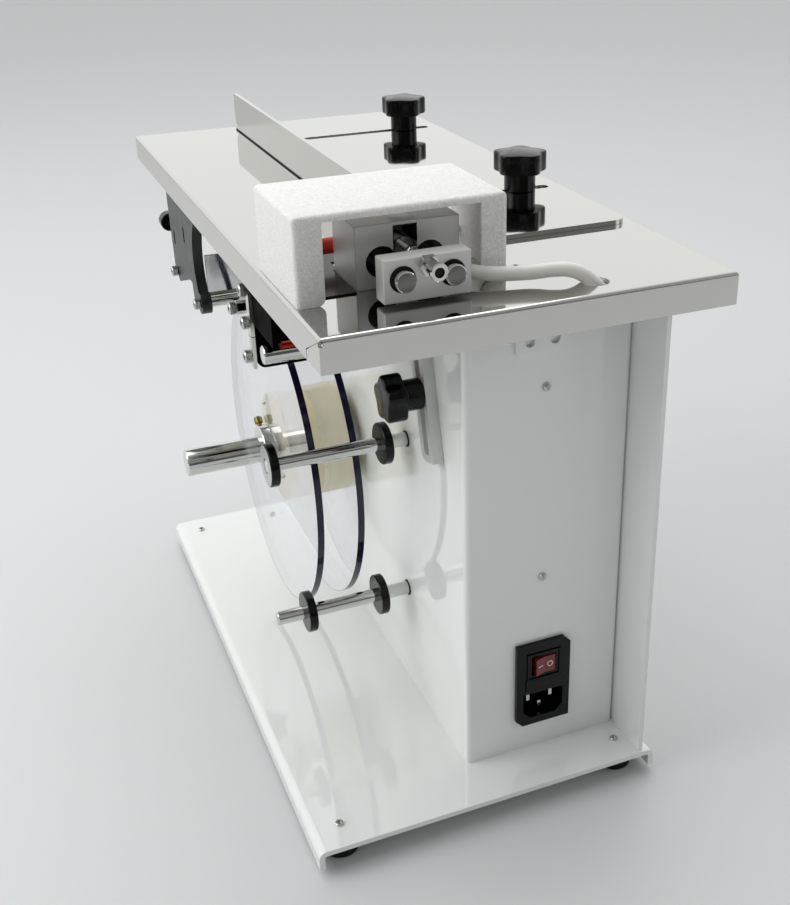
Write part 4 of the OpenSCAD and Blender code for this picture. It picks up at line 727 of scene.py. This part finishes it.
bm = bmesh.new()
block(bm, Matrix.Translation(at(INLET_X, FRAME_Y, ROCKER_Z)), FRAME_SIZE)
bmesh.ops.inset_individual(bm, faces=wide_faces(bm), thickness=FRAME_RIM / 1000)
bmesh.ops.bridge_loops(bm, edges=[e for f in wide_faces(bm) for e in f.edges])
bmesh.ops.delete(bm, geom=wide_faces(bm), context="FACES_ONLY")
bmesh.ops.recalc_face_normals(bm, faces=bm.faces)
piece(bm, "rocker_frame", "black_plastic", "machine")

# %% [markdown]
# ## Hood
# The hood is folded from two millimetre sheet: a front with an opening, two sides and a top. Its back is
# open, because the carton's corner comes in from there, and daylight from behind reaches the block. So
# it is made as a sheet is: the front's outline is cut, its legs are rounded, three edges are pulled
# back, the folds are bevelled, and only then does the sheet get its thickness.

# %% Hood
HOOD_LEG, HOOD_STRIP, LEG_ROUND, SHEET, FOLD_R, RIM_R = 13.5, 3.6, 4, 2, 2.4, 0.3
RIM_ANGLE = math.radians(60)

hood_lo, hood_hi = (Vector(p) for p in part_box("hood"))
left, right, foot, top = hood_lo.x, hood_hi.x, hood_lo.z, hood_hi.z
leg, lintel = HOOD_LEG / 1000, top - HOOD_STRIP / 1000
bm = bmesh.new()
front = [bm.verts.new((x, hood_lo.y, z)) for x, z in (
    (left, foot), (left, top), (right, top), (right, foot),
    (right - leg, foot), (right - leg, lintel), (left + leg, lintel), (left + leg, foot))]
bm.faces.new(front)
pulled = [bm.edges.get(pair) for pair in zip(front[:3], front[1:4])]
bmesh.ops.bevel(bm, geom=[front[4], front[7]], offset=LEG_ROUND / 1000, segments=8, profile=0.5,
                affect="VERTICES", material=-1)
grown = bmesh.ops.extrude_edge_only(bm, edges=pulled)["geom"]
bmesh.ops.translate(bm, vec=(0, hood_hi.y - hood_lo.y, 0),
                    verts=[g for g in grown if isinstance(g, bmesh.types.BMVert)])
soften(bm, [e for e in bm.edges if len(e.link_faces) == 2], FOLD_R, 5)
bmesh.ops.recalc_face_normals(bm, faces=bm.faces)
bmesh.ops.solidify(bm, geom=list(bm.faces), thickness=SHEET / 1000)
soften(bm, [e for e in bm.edges if e.calc_face_angle(0) > RIM_ANGLE], RIM_R, 2)
hood = piece(bm, "hood_sheet", "wrinkle_paint", "machine")
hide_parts("hood")
print("hood", [round(1000 * v, 1) for v in hood_hi - hood_lo], "mm, sheet", SHEET, "mm")

# %% [markdown]
# ## Label head details
# A black ring round each guide pin on the trigger bar is painted shade, the dark gap round the pin, and
# a small lock nut holds the push rod behind it. A thin lid and a black liner close the keyway that the
# spring sits in, and a black plate round one end of the label's slot is painted shade in the gap beside
# the block. The pins' ends are turned faces painted darker as a painted reflection, and a black disc in
# the hollow fitting is painted shade in its bore. All of it is too small to matter in the solids, but the
# eye looks for it.

# %% Pin shade rings and lock nut
PIN_Z, PIN_XS, PIN_END_Y, BAR_Y = 12.85, (46.7, 70.7), 17.5, 22.5
ROD_X, ROD_Z, NUT_Y = 58.7, 18.4, 40

# painted shade: a black ring round each pin stands in for the dark clearance gap between pin and bar
bm = bmesh.new()
for x in PIN_XS:
    lathe(bm, [(5.02, -0.02), (6.2, -0.02), (6.2, 0.25), (5.9, 0.4), (5.02, 0.4), (5.02, -0.02)],
          axis_frame(at(x, BAR_Y, PIN_Z), -Y), steps=40)
piece(bm, "pin_shade_rings", "black_rubber", "trigger")

bm = bmesh.new()
lathe(bm, [(1.62, 0), (3.0, 0), (3.4, 0.5), (3.4, 2.2), (3.0, 2.7), (1.62, 2.7), (1.62, 0)],
      axis_frame(at(ROD_X, NUT_Y, ROD_Z), Y), steps=6)
piece(bm, "push_rod_nut", "zinc_steel", "trigger")

# %% Keyway lid and liner
KEYWAY_Y, KEYWAY_DEPTH = 59, 17.6
LID_Z, LID_W, LID_T, LID_EDGE = 30.1, 12, 1.6, 0.2
LINER_Z, LINER_W, LINER_H, LINER_T = 24.9, 11.9, 8.6, 0.5

bm = bmesh.new()
block(bm, Matrix.Translation(at(ROD_X, KEYWAY_Y, LID_Z)), (LID_W, KEYWAY_DEPTH, LID_T))
soften(bm, list(bm.edges), LID_EDGE, 2)
piece(bm, "keyway_lid", "aluminium", "machine")

# the liner is the box's two sides and top, so the others are deleted before it gets its thickness
bm = bmesh.new()
block(bm, Matrix.Translation(at(ROD_X, KEYWAY_Y, LINER_Z)), (LINER_W, KEYWAY_DEPTH, LINER_H))
ends = [f for f in bm.faces if abs(f.normal.y) > 0.5 or f.normal.z < -0.5]
bmesh.ops.delete(bm, geom=ends, context="FACES")
bmesh.ops.solidify(bm, geom=list(bm.faces), thickness=LINER_T / 1000)
piece(bm, "keyway_liner", "black_plastic", "machine")

# %% Painted shade plate at the label slot
SHADE_PLATE_T = 0.8
SHADE_PLATE_OUTLINE = ((16, 48), (33.4, 48), (33.4, 83.6), (82, 83.6), (82, 87.4), (36, 87.4), (36, 96),
               (56, 96), (56, 110), (31, 110), (31, 87.4), (16, 87.4))

# painted shade: a thin black plate on the table fills the dark gap beside the block
bm = bmesh.new()
shade_plate = bm.faces.new([bm.verts.new(at(x, y, 0)) for x, y in SHADE_PLATE_OUTLINE])
lift(bm, [shade_plate], SHADE_PLATE_T)
bmesh.ops.recalc_face_normals(bm, faces=bm.faces)
piece(bm, "label_slot_shade_plate", "black_plastic", "machine")

# %% Pin ends painted darker and the fitting's painted bore shade
FITTING_Y = 9.1

# Pin ends: turned on the lathe, rougher than their ground sides, and painted darker; the dark colour is a
# painted reflection of the dark they face
made, tree, shader, place = finish("pin_end_painted_reflection", "#7f807e", Metallic=1.0)
cloud = add(tree, "ShaderNodeTexNoise", {"Vector": place, "Scale": per_mm(MILL_MM), "Detail": 2.0})
rough = add(tree, "ShaderNodeMapRange", {"Value": cloud.outputs["Fac"], "To Min": 0.3, "To Max": 0.45})
tree.links.new(rough.outputs["Result"], shader.inputs["Roughness"])
finishes["pin_end_painted_reflection"] = made

bm = bmesh.new()
for x in PIN_XS:
    lathe(bm, [(0, 0.05), (4.3, 0.05), (4.45, 0), (4.45, -0.02), (0, -0.02)],
          axis_frame(at(x, PIN_END_Y, PIN_Z), -Y))
piece(bm, "pin_end_faces", "steel", "trigger", look="pin_end_painted_reflection")

# painted shade: a black disc just inside the hollow fitting stands in for the dark of its bore
bm = bmesh.new()
lathe(bm, [(0, 0), (1.9, 0), (2.38, -0.3), (2.38, -1.2), (0, -1.2)],
      axis_frame(at(ROD_X, FITTING_Y, ROD_Z), -Y), steps=32)
piece(bm, "fitting_bore_shade", "black_rubber", "trigger")

# %% [markdown]
# ## Table: stop screw and fence strip
# Beside the hood a short screw with a hollow head stands in the table, turned like the others. Along the
# fence's foot runs a black line, painted shade: a thin black strip stands in for the dark groove at the
# fold.

# %% Stop screw and fence strip
STOP_SPOT = (113, 45, 0)
STRIP_T, STRIP_H, STRIP_END = 0.3, 0.8, 1

bm = bmesh.new()
lathe(bm, [(0, -0.8), (1.1, -0.8), (1.1, 1.4), (2.1, 1.4), (2.1, 3.2), (1.7, 3.6), (1.0, 3.6),
           (1.0, 2.4), (0, 2.4)], axis_frame(at(*STOP_SPOT), Z), steps=24)
piece(bm, "table_stop_screw", "zinc_steel", "machine")

fence_lo, fence_hi = (Vector(p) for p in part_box("fence"))
strip_len = 1000 * (fence_hi.y - fence_lo.y) - 2 * STRIP_END
middle = Vector((fence_lo.x - STRIP_T / 2000, (fence_lo.y + fence_hi.y) / 2, fence_lo.z + STRIP_H / 2000))
# painted shade: the black strip at the fence's foot stands in for the dark groove where the fold meets the
# table
bm = bmesh.new()
block(bm, Matrix.Translation(middle), (STRIP_T, strip_len, STRIP_H))
piece(bm, "fence_foot_shade_strip", "black_rubber", "fence_slider")

# %% [markdown]
# ## Floor and light
# A plain pale floor and soft light from the left, above and behind, as in the photograph: top and left
# faces bright, the front in soft shade with a weak fill from the right. The room is pale, except low
# down towards the camera, where it falls off to dark. That dark end is what draws the black bands
# along the rods and greys the front skirt.

# %% Floor
FLOOR_HALF = 6

floor_mesh = bpy.data.meshes.new("floor")
bm = bmesh.new()
bmesh.ops.create_grid(bm, x_segments=1, y_segments=1, size=FLOOR_HALF)
bm.to_mesh(floor_mesh)
bm.free()
floor_mesh.materials.append(finish("pale_floor", "#d6d7d8", Roughness=0.6)[0])
floor = bpy.data.objects.new("floor", floor_mesh)
scene.collection.objects.link(floor)
floor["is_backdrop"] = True
print("floor", 2 * FLOOR_HALF, "m wide")

# %% Lamps


def softbox(name, spot, aim, size, power):
    """An area lamp of a size in metres and a power in watts, turned towards a point."""
    lamp = bpy.data.lights.new(name, "AREA")
    lamp.shape = "RECTANGLE"
    lamp.size, lamp.size_y = size
    lamp.energy = power
    made = bpy.data.objects.new(name, lamp)
    scene.collection.objects.link(made)
    made.location = spot
    made.rotation_mode = "QUATERNION"
    made.rotation_quaternion = (Vector(aim) - Vector(spot)).to_track_quat("-Z", "Y")


softbox("key_left", (-1.5, 0.15, 1.2), (0, 0, 0.15), (1.2, 1.2), 12)
softbox("top_back", (0.1, 0.7, 2.0), (0, 0.1, 0.2), (1.8, 1.4), 11.5)
softbox("fill_front", (1.6, -1.2, 0.7), (0.05, -0.2, 0.2), (0.9, 0.9), 3)

# %% Room
ROOM, NEAR_LOW, NEAR_HIGH, BACKDROP = 1.04, 0.08, 0.36, 0.86

world = bpy.data.worlds.new("studio")
world.use_nodes = True
scene.world = world
tree = world.node_tree
back = tree.nodes["Background"]
direction = add(tree, "ShaderNodeTexCoord").outputs["Generated"]
parts = add(tree, "ShaderNodeSeparateXYZ", {"Vector": direction})
near_end = add(tree, "ShaderNodeMapRange", {"Value": parts.outputs["Z"], "From Min": 0.1, "From Max": 0.5,
                                            "To Min": NEAR_LOW, "To Max": NEAR_HIGH},
               interpolation_type="SMOOTHSTEP")
far_share = add(tree, "ShaderNodeMapRange", {"Value": parts.outputs["Y"], "From Min": -0.5, "From Max": 0.6},
                interpolation_type="SMOOTHSTEP")
room = add(tree, "ShaderNodeMix", {0: far_share.outputs["Result"], 2: near_end.outputs["Result"], 3: ROOM},
           data_type="FLOAT")
paths = add(tree, "ShaderNodeLightPath").outputs
strength = add(tree, "ShaderNodeMix", {0: paths["Is Camera Ray"], 2: room.outputs[0], 3: BACKDROP},
               data_type="FLOAT")
tree.links.new(strength.outputs[0], back.inputs["Strength"])
back.inputs["Color"].default_value = linear("#ffffff")
scene.view_settings.view_transform = "Standard"
print("room", ROOM, "backdrop", BACKDROP)

# %% [markdown]
# ## Size
# Both boxes, the CAD model's and the dressed machine's, are printed. The dressed machine
# has to stay in the CAD model's box.

# %% Size
seen_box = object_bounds()
for name, box in (("cad", cad_box), ("seen", seen_box)):
    print(name, [[round(v, 4) for v in p] for p in box])
